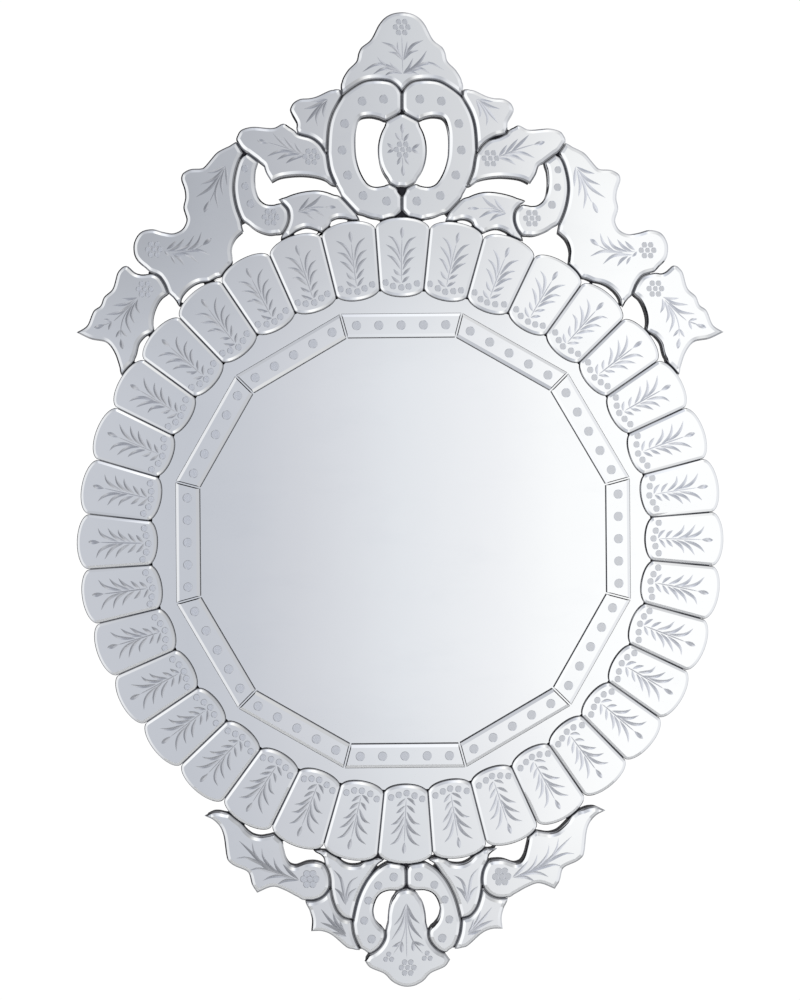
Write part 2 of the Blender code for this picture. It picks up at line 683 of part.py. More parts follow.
def screw_head(x, z):
    """A countersunk head with its face just below the back of the wood."""
    mesh = bmesh.new()
    back = row_of(mesh, circle(SCREW_RADIUS, SCREW_SIDES, (x, z)), -FIT_GAP)
    front = row_of(mesh, circle(SCREW_RADIUS * SCREW_TAPER, SCREW_SIDES, (x, z)), -SCREW_DEPTH)
    walls(mesh, front, back)
    mesh.faces.new(front)
    mesh.faces.new(back)
    bmesh.ops.recalc_face_normals(mesh, faces=mesh.faces)
    return mesh


def sink_hole(wood, x, z):
    """Cuts the round pocket that a screw head sits in."""
    bpy.ops.mesh.primitive_cylinder_add(
        vertices=SCREW_SIDES,
        radius=(SCREW_RADIUS + FIT_GAP) * MM,
        depth=2 * (SCREW_DEPTH + FIT_GAP) * MM,
        location=(x * MM, 0, (z - CLEAT_ABOVE_CENTRE) * MM),
        rotation=(math.pi / 2, 0, 0),
    )
    cutter = bpy.context.object
    cutter.name = f"{wood.name}_cutter"
    cutter.hide_render = True
    cutter.display_type = "WIRE"
    cut = wood.modifiers.new("screw_pocket", "BOOLEAN")
    cut.object = cutter
    cut.operation = "DIFFERENCE"


def back_pieces(wood_finish, steel_finish):
    """The cleat that the mirror hangs by, the spacer that keeps it upright, and their screws."""
    cleat = bar(CLEAT_LENGTH, CLEAT_HEIGHT, CLEAT_ABOVE_CENTRE, under_cut=CLEAT_THICKNESS)
    spacer = bar(SPACER_LENGTH, SPACER_HEIGHT, -SPACER_BELOW_CENTRE, under_cut=0.0)
    bars = [("cleat", add_object("hanging_cleat", cleat, wood_finish), CLEAT_SCREW_PLACE),
            ("spacer", add_object("wall_spacer", spacer, wood_finish), SPACER_SCREW_PLACE)]
    for short_name, wood, (across, height) in bars:
        for side, hand in ((-1, "left"), (1, "right")):
            sink_hole(wood, side * across, height)
            head = screw_head(side * across, height)
            add_object(f"{short_name}_screw_{hand}", head, steel_finish)


def main():
    clear_scene()
    mirror = material("silvered_glass", (0.66, 0.68, 0.72), 0.03, 1.0)
    engraved = material("engraved_silvered_glass", (0.62, 0.64, 0.68), 0.08, 1.0)
    black = material("black_painted_board", (0.008, 0.008, 0.009), 0.55, 0.0)
    wood = material("raw_pine", (0.55, 0.36, 0.19), 0.7, 0.0)
    steel = material("zinc_plated_steel", (0.62, 0.61, 0.58), 0.35, 1.0)

    add_object("round_pane", flat_disc(PANE_RADIUS, PANE_SIDES, PANE_FRONT, PANE_BACK), mirror)
    for index in range(STRIP_COUNT):
        add_object(f"rim_strip_{index + 1:02d}", strip(index), engraved)
    for index in range(STRIP_COUNT):
        add_object(f"ring_tiles_{index + 1:02d}", tile_sector(index), engraved)
    ornaments = ornament_loops()
    for name, (loop, dots) in ornaments.items():
        radius = BIG_DIMPLE_RADIUS if name.startswith("big") else SMALL_DIMPLE_RADIUS
        dimples = [(tuple(dot), radius) for dot in dots]
        insets = moved_in([loop], BEVEL_WIDTH)
        add_object(name, plate(loop, insets, PIECE_BACK, PIECE_FRONT, dimples=dimples), engraved)
    glass = [loop for loop, _ in ornaments.values()]
    glass += [tile_sector_outline(index)[0] for index in range(STRIP_COUNT)]
    add_object("backing_board", backing_board(glass), black)
    back_pieces(wood, steel)


main()
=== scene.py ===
"""The looks of a wall mirror of cut, bevelled and engraved mirror glass.

Lengths are in millimetres about the ring's centre, x to the right and z up, until a
mesh is made. The mirror faces -Y and hangs from the middle of its cleat.
"""

import math
import random

import bmesh
import bpy
import numpy as np
from mathutils import Matrix, Vector
from mathutils.geometry import delaunay_2d_cdt


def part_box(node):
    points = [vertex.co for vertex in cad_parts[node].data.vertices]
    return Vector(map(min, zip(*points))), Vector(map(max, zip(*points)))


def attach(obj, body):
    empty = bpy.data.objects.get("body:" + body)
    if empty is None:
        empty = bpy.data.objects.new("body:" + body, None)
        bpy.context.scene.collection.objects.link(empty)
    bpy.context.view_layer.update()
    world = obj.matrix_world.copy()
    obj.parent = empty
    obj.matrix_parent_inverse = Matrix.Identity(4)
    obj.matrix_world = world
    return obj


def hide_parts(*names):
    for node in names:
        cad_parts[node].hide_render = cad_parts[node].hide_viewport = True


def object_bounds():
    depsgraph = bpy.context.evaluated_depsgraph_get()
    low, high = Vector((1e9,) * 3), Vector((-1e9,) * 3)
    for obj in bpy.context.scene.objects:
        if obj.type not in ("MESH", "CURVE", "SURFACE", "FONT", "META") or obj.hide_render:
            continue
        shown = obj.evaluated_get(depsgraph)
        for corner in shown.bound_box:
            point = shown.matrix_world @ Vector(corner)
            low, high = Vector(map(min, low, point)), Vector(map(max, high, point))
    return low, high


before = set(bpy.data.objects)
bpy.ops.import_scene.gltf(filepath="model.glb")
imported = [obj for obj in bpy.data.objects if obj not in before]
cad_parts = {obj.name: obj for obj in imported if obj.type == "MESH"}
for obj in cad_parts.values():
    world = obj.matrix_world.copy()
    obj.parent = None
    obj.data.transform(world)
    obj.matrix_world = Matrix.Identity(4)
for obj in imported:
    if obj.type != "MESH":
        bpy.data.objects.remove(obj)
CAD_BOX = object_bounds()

MM = 0.001
MERGED_WITHIN = 1e-6
SPLINE_STEPS = 16
ROUND_SEGMENTS = 180

# Turns what an operator makes flat on the floor to face the front
FACING_FRONT = (math.pi / 2, 0, 0)

# Places that the frame gives
PANE_LOW, PANE_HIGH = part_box("round_pane")
RING_HEIGHT = (PANE_LOW.z + PANE_HIGH.z) / 2
RING_CENTRE = Vector((0, 0, RING_HEIGHT))
PANE_RADIUS = (PANE_HIGH.x - PANE_LOW.x) / 2 / MM
PANE_FRONT, PANE_BACK = (corner.y / MM for corner in (PANE_LOW, PANE_HIGH))
PIECE_FRONT, PIECE_BACK = (corner.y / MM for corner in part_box("crest"))
STRIP_FRONT, STRIP_BACK = (corner.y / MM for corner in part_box("rim_strip_01"))
BOARD_FRONT, BOARD_BACK = (corner.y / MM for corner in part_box("backing_board"))

# Cut glass
BEVEL_WIDTH = 4.3
TILE_BEVEL = 3.1
STRIP_BEVEL = 3.4
BEVEL_SLOPE = 0.5
ARRIS = 1.55
TILE_ARRIS = 0.75
STRIP_ARRIS = 0.45
OUTLINE_ERROR = 0.02
INSET_STEP = 0.35
CLEAR_MARGIN = 0.01
LONGEST_MITRE = 6.0
CORNER_REACH = 1.05
LEAST_CORNER = math.radians(48)
SMOOTH_BELOW = 11.0
FLAT_FRONT = 0.99995

# Ring of tiles
TILE_COUNT = 36
TILES_PER_SECTOR = 3
TILE_TURN = 0.35
TILE_INNER_RADIUS = 253.6
TILE_OUTER_RADIUS = 311.9
TILE_INNER_BULGE = 9.4
TILE_OUTER_BULGE = 11.8
TILE_END_POINTS = 33
TILE_GAP = 0.35
TILE_DOT_RADIUS = 3.35
SPRIG_FOOT = 257.0
SPRIG_HEIGHT = 50.0
SPRIG_LEAN = 1.4
SPRIG_REACH = 1.0
DOT_STRAY = (0.6, 0.5)
TIP_STRAY = (1.0, 1.2)
TILE_TILT = 0.004
TILES_TO_RIGHT = 2.6
TILES_SPREAD = 0.0115
TILE_LEAN = 1.1
TILE_LEAN_CHANGE = 0.6

# Rim strips
STRIP_COUNT = 12
STRIP_TURN = 0.5
STRIP_DOT_PITCH = 22.3
STRIP_DOT_RADIUS = 4.7
STRIPS_TO_RIGHT = 1.8
STRIP_END_SHARE = 0.25
STRIP_LONG_SIDE = 60.0

# Ornaments, let out so that neighbours nearly touch
LAID_GAP = 0.5
OUTER_GROWTH = 0.2
FULL_GROWTH = 1.9
NO_GROWTH = 3.2
HEAD_BOTTOM = -341.0
FULL_HEAD_GROWTH = 4.6
NO_HEAD_GROWTH = 6.2
LAYING_STEP = 1.2
SOFTENING = 3
FAR_APART = 400.0
NO_NEIGHBOUR = 1000.0
MAY_OVERLAP = 4.0
BLUNTEST_WAY = 0.6

# Engraving
DOT_SEGMENTS = 24
DOT_DEPTH = 0.26
DOT_LIFT = 0.3
BLADE_POINTS = 11
BLADE_DEPTH = 0.45
BLADE_LIFT = 0.05
BLADE_WIDTH = 3.5
SHORT_BLADE = 3.3
SLIM_BLADE = 2.9
STEM_WIDTH = 1.5
BUD_WIDTH = 4.5
PETAL_RADIUS = 2.9
PETAL_DISTANCE = 6.2
PETALS = 6
HEART_SHARE = 0.9
SCROLL_DOT_RADIUS = 4.6
LOWER_GROUP_TURN = 0.75

# Back
BOARD_EASING = 0.5
BOARD_SETBACK = 1.2
BOARD_BRIDGE = 1.3
BOARD_SLIP = (-1.0, 0.0)
BOARD_STRETCH = (1.0, 1.0012)
LEAST_WINDOW = 45.0
LEAST_MIDDLE_WINDOW = 600.0
NEAR_MIDDLE = 10.0
RECESS_CLEARANCE = 0.6
RECESS_PLAY = 0.3
WOOD_EASING = 0.8
SCREW_SEGMENTS = 40
SCREW_EASING = 0.25
SCREW_TAPER = 0.5
CROSS_TURN = 0.35
CROSS_SPAN = 1.15
CROSS_DEPTH = 3.2
CROSS_WIDTH = 1.0

# Camera, level with the ring's centre and a little above it, at the photo's distance
CAMERA_DISTANCE = 1500.0
CAMERA_X = -1.3
CAMERA_ABOVE = 40.6
CAMERA_LENS = 54.0
CAMERA_SENSOR = 36.0

# Studio, in metres
FLOOR_RADIUS = 0.8
FLOOR_BELOW = 0.35
FLOOR_THICKNESS = 0.02
FLOOR_EASING = 0.004
FLOOR_SEGMENTS = 96

# Where the room passes to what the bevels show, to what the arrises show and to what lies
# behind the mirror, in degrees from straight ahead
BEVELS_FROM = (13.5, 20)
ARRISES_FROM = (68, 76)
BEHIND_FROM = (128, 138)

# What the flat faces show, from the left to the right, as far to each side in degrees
FACE_SPAN = 12.0
FACE_STOPS = (
    (0.0, (0.56, 0.577, 0.625)),
    (0.167, (0.54, 0.56, 0.61)),
    (0.263, (0.58, 0.597, 0.645)),
    (0.342, (0.64, 0.652, 0.695)),
    (0.5, (0.765, 0.783, 0.818)),
    (0.658, (0.87, 0.876, 0.898)),
    (0.75, (0.955, 0.96, 0.966)),
    (0.82, (0.985, 0.988, 0.99)),
    (0.875, (1.0, 1.0, 1.0)),
    (1.0, (1.0, 1.0, 1.0)),
)

# What the arrises show all round, from the right by below, the left and above to the right
ARRIS_STOPS = (
    (0.0, (0.82, 0.83, 0.85)),
    (0.125, (0.54, 0.55, 0.57)),
    (0.25, (0.05, 0.05, 0.055)),
    (0.36, (0.7, 0.7, 0.715)),
    (0.45, (0.035, 0.035, 0.04)),
    (0.625, (0.07, 0.07, 0.075)),
    (0.75, (0.4, 0.4, 0.42)),
    (0.875, (0.57, 0.58, 0.6)),
    (1.0, (0.82, 0.83, 0.85)),
)


def placed(x, y, z):
    """A point about the ring's centre, in millimetres, as a place of the model."""
    return Vector((x * MM, y * MM, RING_HEIGHT + z * MM))


def measured(place):
    """The x and z of a place of the model, in millimetres about the ring's centre."""
    return place.x / MM, (place.z - RING_HEIGHT) / MM


def about(centre, change):
    """The change made about the centre."""
    return Matrix.Translation(centre) @ change @ Matrix.Translation(-centre)


# Plane geometry: points are arrays of x and z in millimetres


def spline(points):
    """A smooth open curve through the points."""
    points = np.asarray(points, float)
    padded = np.vstack([2 * points[0] - points[1], points, 2 * points[-1] - points[-2]])
    samples = []
    for p0, p1, p2, p3 in zip(padded, padded[1:], padded[2:], padded[3:]):
        t1 = math.sqrt(math.dist(p0, p1))
        t2 = t1 + math.sqrt(math.dist(p1, p2))
        t3 = t2 + math.sqrt(math.dist(p2, p3))
        for t in np.linspace(t1, t2, SPLINE_STEPS, endpoint=False):
            a1 = p0 + (p1 - p0) * t / t1
            a2 = p1 + (p2 - p1) * (t - t1) / (t2 - t1)
            a3 = p2 + (p3 - p2) * (t - t2) / (t3 - t2)
            b1 = a1 + (a2 - a1) * t / t2
            b2 = a2 + (a3 - a2) * (t - t1) / (t3 - t1)
            samples.append(b1 + (b2 - b1) * (t - t1) / (t2 - t1))
    samples.append(points[-1])
    return np.array(samples)


def distance_to_segments(points, starts, ends):
    """The distance from each point to the nearest of the segments."""
    along = ends - starts
    lengths = np.maximum((along**2).sum(axis=1), 1e-12)
    offset = points[:, None] - starts[None]
    share = np.clip((offset * along).sum(axis=2) / lengths, 0, 1)
    nearest = starts + share[..., None] * along
    return np.linalg.norm(points[:, None] - nearest, axis=2).min(axis=1)


def thinned(points, error):
    """The open run with no more points than it takes to stay within the error."""
    if len(points) < 3:
        return list(points)
    distances = distance_to_segments(points, points[:1], points[-1:])
    far = int(distances.argmax())
    if distances[far] <= error:
        return [points[0], points[-1]]
    return thinned(points[: far + 1], error)[:-1] + thinned(points[far:], error)


def thinned_loop(points, error):
    """The closed loop thinned from its outermost point and the one farthest from that."""
    outermost = int(np.linalg.norm(points - points.mean(axis=0), axis=1).argmax())
    points = np.roll(points, -outermost, axis=0)
    far = int(np.linalg.norm(points - points[0], axis=1).argmax())
    there = thinned(points[: far + 1], error)
    back = thinned(np.vstack([points[far:], points[:1]]), error)
    return np.array(there[:-1] + back[:-1])


def turn_between(before, here, after):
    a, b = here - before, after - here
    return abs(math.atan2(a[0] * b[1] - a[1] * b[0], a @ b))


def smoothed_loop(loop):
    """The loop with its round stretches as smooth curves and its real corners kept."""
    before, after = np.roll(loop, 1, axis=0), np.roll(loop, -1, axis=0)
    corners = []
    for index, (a, here, b) in enumerate(zip(before, loop, after)):
        reach = min(math.dist(a, here), math.dist(here, b))
        turn = turn_between(a, here, b)
        if turn > LEAST_CORNER and reach * math.tan(turn / 4) > CORNER_REACH:
            corners.append(index)
    if not corners:
        wrapped = np.vstack([loop[-3:], loop, loop[:4]])
        samples = spline(wrapped)[3 * SPLINE_STEPS : (3 + len(loop)) * SPLINE_STEPS]
        return thinned_loop(samples, OUTLINE_ERROR)
    points = []
    for start, end in zip(corners, corners[1:] + [corners[0] + len(loop)]):
        run = loop[np.arange(start, end + 1) % len(loop)]
        points += thinned(spline(run), OUTLINE_ERROR)[:-1]
    return np.array(points)


def crossing(point_a, along_a, point_b, along_b):
    """Where two lines cross, or None where they run nearly the same way."""
    turn = along_a[0] * along_b[1] - along_a[1] * along_b[0]
    if abs(turn) < 1e-4:
        return None
    gap = point_b - point_a
    return point_a + along_a * (gap[0] * along_b[1] - gap[1] * along_b[0]) / turn


def moved_in(loops, distance):
    """Each loop moved to its left by the distance, or to its right by a negative one.

    Parallel samples that come nearer than that to any loop are dropped, so narrow
    tips end where the two sides meet, and neighbouring stretches are mitred."""
    starts = np.vstack(loops)
    ends = np.vstack([np.roll(loop, -1, axis=0) for loop in loops])
    made = []
    for loop in loops:
        samples, directions, edges = [], [], []
        for index, (start, end) in enumerate(zip(loop, np.roll(loop, -1, axis=0))):
            length = math.dist(start, end)
            along = (end - start) / length
            count = max(2, round(length / INSET_STEP))
            for share in (np.arange(count) + 0.5) / count:
                normal = np.array([-along[1], along[0]])
                samples.append(start + (end - start) * share + normal * distance)
                directions.append(along)
                edges.append(index)
        samples = np.array(samples)
        clearances = distance_to_segments(samples, starts, ends)
        kept = np.flatnonzero(clearances > abs(distance) - CLEAR_MARGIN)
        path = []
        for here, there in zip(kept, np.roll(kept, -1)):
            if edges[here] == edges[there]:
                continue
            corner = crossing(samples[here], directions[here], samples[there], directions[there])
            if corner is None or max(math.dist(corner, samples[here]),
                                     math.dist(corner, samples[there])) > LONGEST_MITRE:
                path += [samples[here], samples[there]]
            else:
                path.append(corner)
        if len(path) > 2:
            made.append(thinned_loop(np.array(path), OUTLINE_ERROR))
    return made


def walked(onward):
    """The closed rows along which each thing leads to the next, which uses them up."""
    rows = []
    while onward:
        start, here = onward.popitem()
        row = [start]
        while here != start:
            row.append(here)
            here = onward.pop(here)
        rows.append(row)
    return rows


def union_of(loops):
    """The outer and inner boundaries of all the area that the loops cover."""
    points, faces = [], []
    for loop in loops:
        faces.append(list(range(len(points), len(points) + len(loop))))
        points += [tuple(point) for point in loop]
    joined, _, triangles, _, _, covers = delaunay_2d_cdt(points, [], faces, 0, 1e-5)
    edges = []
    for triangle, cover in zip(triangles, covers):
        if cover:
            edges += zip(triangle, triangle[1:] + triangle[:1])
    known = set(edges)
    onward = {a: b for a, b in edges if (b, a) not in known}
    return [np.array([tuple(joined[index]) for index in row]) for row in walked(onward)]


def signed_area(loop):
    """The loop's area, negative where it runs clockwise."""
    after = np.roll(loop, -1, axis=0)
    return (loop[:, 0] * after[:, 1] - loop[:, 1] * after[:, 0]).sum() / 2


def within(point, loop):
    x, z = point
    following = np.roll(loop, -1, axis=0)
    spans = (loop[:, 1] > z) != (following[:, 1] > z)
    a, b = loop[spans], following[spans]
    slopes = (b[:, 0] - a[:, 0]) / (b[:, 1] - a[:, 1])
    return int((a[:, 0] + (z - a[:, 1]) * slopes > x).sum()) % 2 == 1


def outlines_of(node):
    """The outlines of a CAD node's back face, counter-clockwise as seen from the front."""
    mesh = bmesh.new()
    mesh.from_mesh(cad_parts[node].data)
    bmesh.ops.remove_doubles(mesh, verts=mesh.verts, dist=MERGED_WITHIN)
    rear = max(vert.co.y for vert in mesh.verts)
    faces = {face for face in mesh.faces if all(rear - vert.co.y < 1e-5 for vert in face.verts)}
    onward = {}
    for face in faces:
        for loop in face.loops:
            if not faces.issuperset(loop.edge.link_faces):
                onward[loop.link_loop_next.vert] = loop.vert
    found = [np.array([measured(vert.co) for vert in row]) for row in walked(onward)]
    mesh.free()
    return found


def node_middle(node):
    """The mean of a CAD node's corners about the ring's centre."""
    points = np.array([vert.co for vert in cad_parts[node].data.vertices])
    middle = points.mean(axis=0)
    return np.array([middle[0] / MM, (middle[2] - RING_HEIGHT) / MM])


# Modelling with operators


def select_only(*pieces):
    bpy.ops.object.select_all(action="DESELECT")
    for piece in pieces:
        piece.select_set(True)
    bpy.context.view_layer.objects.active = pieces[0]


def settle(piece):
    """Puts the piece's place into its mesh."""
    select_only(piece)
    bpy.ops.object.transform_apply(location=True, rotation=True, scale=True)


def solid(name, add, **shape):
    """A new body that the operator adds, with its place put into its mesh."""
    bpy.ops.object.select_all(action="DESELECT")
    add(**shape)
    body = bpy.context.object
    body.name = body.data.name = name
    settle(body)
    return body


def merged(pieces):
    select_only(*pieces)
    if len(pieces) > 1:
        bpy.ops.object.join()
    return bpy.context.object


def modified(piece, kind, **settings):
    """The piece with one modifier put on and applied."""
    select_only(piece)
    made = piece.modifiers.new(kind.lower(), kind)
    made.show_viewport = False
    for key, value in settings.items():
        setattr(made, key, value)
    bpy.ops.object.modifier_apply(modifier=made.name)


def carved(piece, cutter):
    """The piece less the cutter, which is used up."""
    modified(piece, "BOOLEAN", operation="DIFFERENCE", solver="EXACT", object=cutter, use_self=True)
    bpy.data.objects.remove(cutter)


def in_scene(name, data):
    """A new object of the data, in the scene."""
    made = bpy.data.objects.new(name, data)
    bpy.context.scene.collection.objects.link(made)
    return made


def object_of(name, mesh, materials):
    data = bpy.data.meshes.new(name)
    mesh.to_mesh(data)
    mesh.free()
    for material in materials:
        data.materials.append(material)
    return in_scene(name, data)


def copied(piece, name, matrix):
    """A copy with a mesh of its own, moved by the matrix."""
    data = piece.data.copy()
    data.transform(matrix)
    data.name = name
    return in_scene(name, data)


def polyline(curve, places):
    """A line of the curve through the places, with straight stretches."""
    line = curve.splines.new("POLY")
    line.points.add(len(places) - 1)
    for point, (x, z) in zip(line.points, places):
        point.co = (x * MM, z * MM, 0, 1)
    return line


def body_of_curve(curve, y, depth=1):
    """The curve as a closed body that faces the front, with its middle at y."""
    select_only(in_scene(curve.name, curve))
    bpy.ops.object.convert(target="MESH")
    body = bpy.context.object
    body.rotation_euler = FACING_FRONT
    body.scale = (1, 1, depth)
    body.location = placed(0, y, 0)
    settle(body)
    bpy.ops.object.mode_set(mode="EDIT")
    bpy.ops.mesh.select_all(action="SELECT")
    bpy.ops.mesh.remove_doubles(threshold=MERGED_WITHIN)
    bpy.ops.mesh.normals_make_consistent(inside=False)
    bpy.ops.object.mode_set(mode="OBJECT")
    return body


# Cut glass

FACE, GROUND, RIM, EDGE, BACKING, DOT = range(6)


def row_of(mesh, loop, y):
    return [mesh.verts.new(placed(x, y, z)) for x, z in loop]


def strip_moved_in(loops, distance):
    """A strip's outline moved in, and less at its ends, where the strips meet."""
    loop = loops[0]
    sides = []
    for start, end in zip(loop, np.roll(loop, -1, axis=0)):
        along = (end - start) / math.dist(start, end)
        share = 1 if math.dist(start, end) > STRIP_LONG_SIDE else STRIP_END_SHARE
        sides.append((start + np.array([-along[1], along[0]]) * distance * share, along))
    return [np.array([crossing(*sides[index - 1], *sides[index]) for index in range(len(sides))])]


def glass_plate(name, loop, front, back, bevel, arris, inset=moved_in):
    """A flat glass piece with a thin arris, a flat bevel and a flat face."""
    mesh = bmesh.new()
    drop = (bevel - arris) * BEVEL_SLOPE
    rings = [(loop, front + drop + arris)]
    for distance, y in ((arris, front + drop), (bevel, front)):
        for ring in inset([loop], distance):
            rings.append((ring, y))
    rows = [row_of(mesh, ring, y) for ring, y in rings]
    rear = row_of(mesh, loop, back)
    for index, vert in enumerate(rows[0]):
        after = (index + 1) % len(rear)
        side = mesh.faces.new([vert, rear[index], rear[after], rows[0][after]])
        side.material_index = EDGE
    mesh.faces.new(rear).material_index = BACKING
    verts = [vert for row in rows for vert in row]
    level = {vert: index for index, row in enumerate(rows) for vert in row}
    index_of = {vert: index for index, vert in enumerate(verts)}
    edges = [(index_of[a], index_of[b]) for row in rows for a, b in zip(row, row[1:] + row[:1])]
    flat = [measured(vert.co) for vert in verts]
    points, _, triangles, origins, _, _ = delaunay_2d_cdt(flat, edges, [], 0, 1e-6)
    places = np.array(flat)
    at_point = []
    for point, origin in zip(points, origins):
        near = origin[0] if origin else int(np.linalg.norm(places - tuple(point), axis=1).argmin())
        at_point.append(verts[near])
    for triangle in triangles:
        middle = np.mean([tuple(points[index]) for index in triangle], axis=0)
        corners = [at_point[index] for index in triangle]
        if within(middle, loop) and len(set(corners)) == 3:
            face = mesh.faces.new(corners)
            face.material_index = RIM if min(level[vert] for vert in corners) == 0 else FACE
    bmesh.ops.recalc_face_normals(mesh, faces=mesh.faces)
    return object_of(name, mesh, GLASS_PARTS)


def dish(centre, radius, front):
    """The tapered body whose cut leaves a flat round dot with a narrow sloping edge."""
    x, z = centre
    return solid(
        "dish", bpy.ops.mesh.primitive_cone_add, vertices=DOT_SEGMENTS, rotation=FACING_FRONT,
        radius1=(radius - DOT_DEPTH / BLADE_DEPTH) * MM,
        radius2=(radius + DOT_LIFT / BLADE_DEPTH) * MM, depth=(DOT_DEPTH + DOT_LIFT) * MM,
        location=placed(x, front + (DOT_DEPTH - DOT_LIFT) / 2, z))


def blade_profile(share, fullest, taper):
    """A blade's width along its length, as a share of its greatest width."""
    bent = share ** (math.log(0.5) / math.log(fullest))
    return math.sin(math.pi * bent) ** taper


def grooves(strokes, front):
    """V-shaped bodies along the strokes, each its points, width, fullest share and taper."""
    data = bpy.data.curves.new("grooves", "CURVE")
    data.dimensions = "3D"
    data.twist_mode = "Z_UP"
    data.bevel_depth = MM
    data.bevel_resolution = 0
    for points, width, fullest, taper in strokes:
        curve = spline(points) if len(points) > 2 else np.asarray(points, float)
        lengths = np.concatenate([[0], np.cumsum(np.linalg.norm(np.diff(curve, axis=0), axis=1))])
        shares = np.linspace(0, 1, BLADE_POINTS)
        xs = np.interp(shares * lengths[-1], lengths, curve[:, 0])
        zs = np.interp(shares * lengths[-1], lengths, curve[:, 1])
        line = polyline(data, list(zip(xs, zs)))
        for point, share in zip(line.points, shares):
            wide = blade_profile(share, fullest, taper) if 0 < share < 1 else 0
            point.radius = width / 2 * wide
    return body_of_curve(data, front - BLADE_LIFT, BLADE_DEPTH)


class Engraving:
    """The marks on one glass piece, in millimetres about the ring's centre."""

    def __init__(self):
        self.dots = []
        self.strokes = []

    def blade(self, *points, width=BLADE_WIDTH, fullest=0.48, taper=0.85):
        self.strokes.append(([tuple(point) for point in points], width, fullest, taper))

    def blades(self, *rows, width=BLADE_WIDTH):
        """Blades, each given as the x and z of its root, then of the points up to its tip."""
        for row in rows:
            self.blade(*zip(row[::2], row[1::2]), width=width)

    def stem(self, *points, width=STEM_WIDTH):
        self.blade(*points, width=width, fullest=0.5, taper=0.3)

    def bud(self, start, end, width=BUD_WIDTH):
        self.blade(start, end, width=width, fullest=0.58, taper=0.7)

    def dot(self, x, z, radius):
        self.dots.append(((x, z), radius))

    def flower(self, x, z, petals=PETALS, radius=PETAL_RADIUS, distance=PETAL_DISTANCE, turn=0.0):
        for step in range(petals):
            angle = math.radians(turn + 360 * step / petals)
            self.dot(x + distance * math.cos(angle), z + distance * math.sin(angle), radius)
        if petals == PETALS:
            self.dot(x, z, radius * HEART_SHARE)

    def trefoil(self, x, z):
        self.flower(x, z, petals=3, radius=2.6, distance=3.4, turn=90)

    def moved(self, place):
        """The same marks with each point moved by the function."""
        other = Engraving()
        other.dots = [(place(centre), radius) for centre, radius in self.dots]
        other.strokes = [([place(point) for point in points], *shape)
                         for points, *shape in self.strokes]
        return other

    def cut_into(self, piece, front):
        ground = [dish(centre, radius, front) for centre, radius in self.dots]
        if self.strokes:
            ground.append(grooves(self.strokes, front))
        if not ground:
            return
        cutter = merged(ground)
        for _ in range(len(cutter.data.materials), len(GLASS_PARTS)):
            cutter.data.materials.append(None)
        for polygon in cutter.data.polygons:
            polygon.material_index = DOT if abs(polygon.normal.y) > FLAT_FRONT else GROUND
        carved(piece, cutter)


# Finishes


class Amount:
    """A number on a node's socket. An operator on it adds the Math node for it."""

    def __init__(self, finish, socket):
        self.finish = finish
        self.socket = socket

    def math(self, operation, *values):
        return self.finish.math_of(operation, *values)

    def __add__(self, other):
        return self.math("ADD", self, other)

    __radd__ = __add__

    def __mul__(self, other):
        return self.math("MULTIPLY", self, other)

    __rmul__ = __mul__

    def __rsub__(self, other):
        return self.math("SUBTRACT", other, self)

    def __truediv__(self, other):
        return self.math("DIVIDE", self, other)

    def __pow__(self, other):
        return self.math("POWER", self, other)

    def rise(self, low, high, bottom=0.0, top=1.0):
        """Goes softly from bottom to top as this goes from low to high."""
        return self.finish.node(
            "MapRange", {"interpolation_type": "SMOOTHSTEP"},
            {"Value": self, "From Min": low, "From Max": high, "To Min": bottom, "To Max": top})


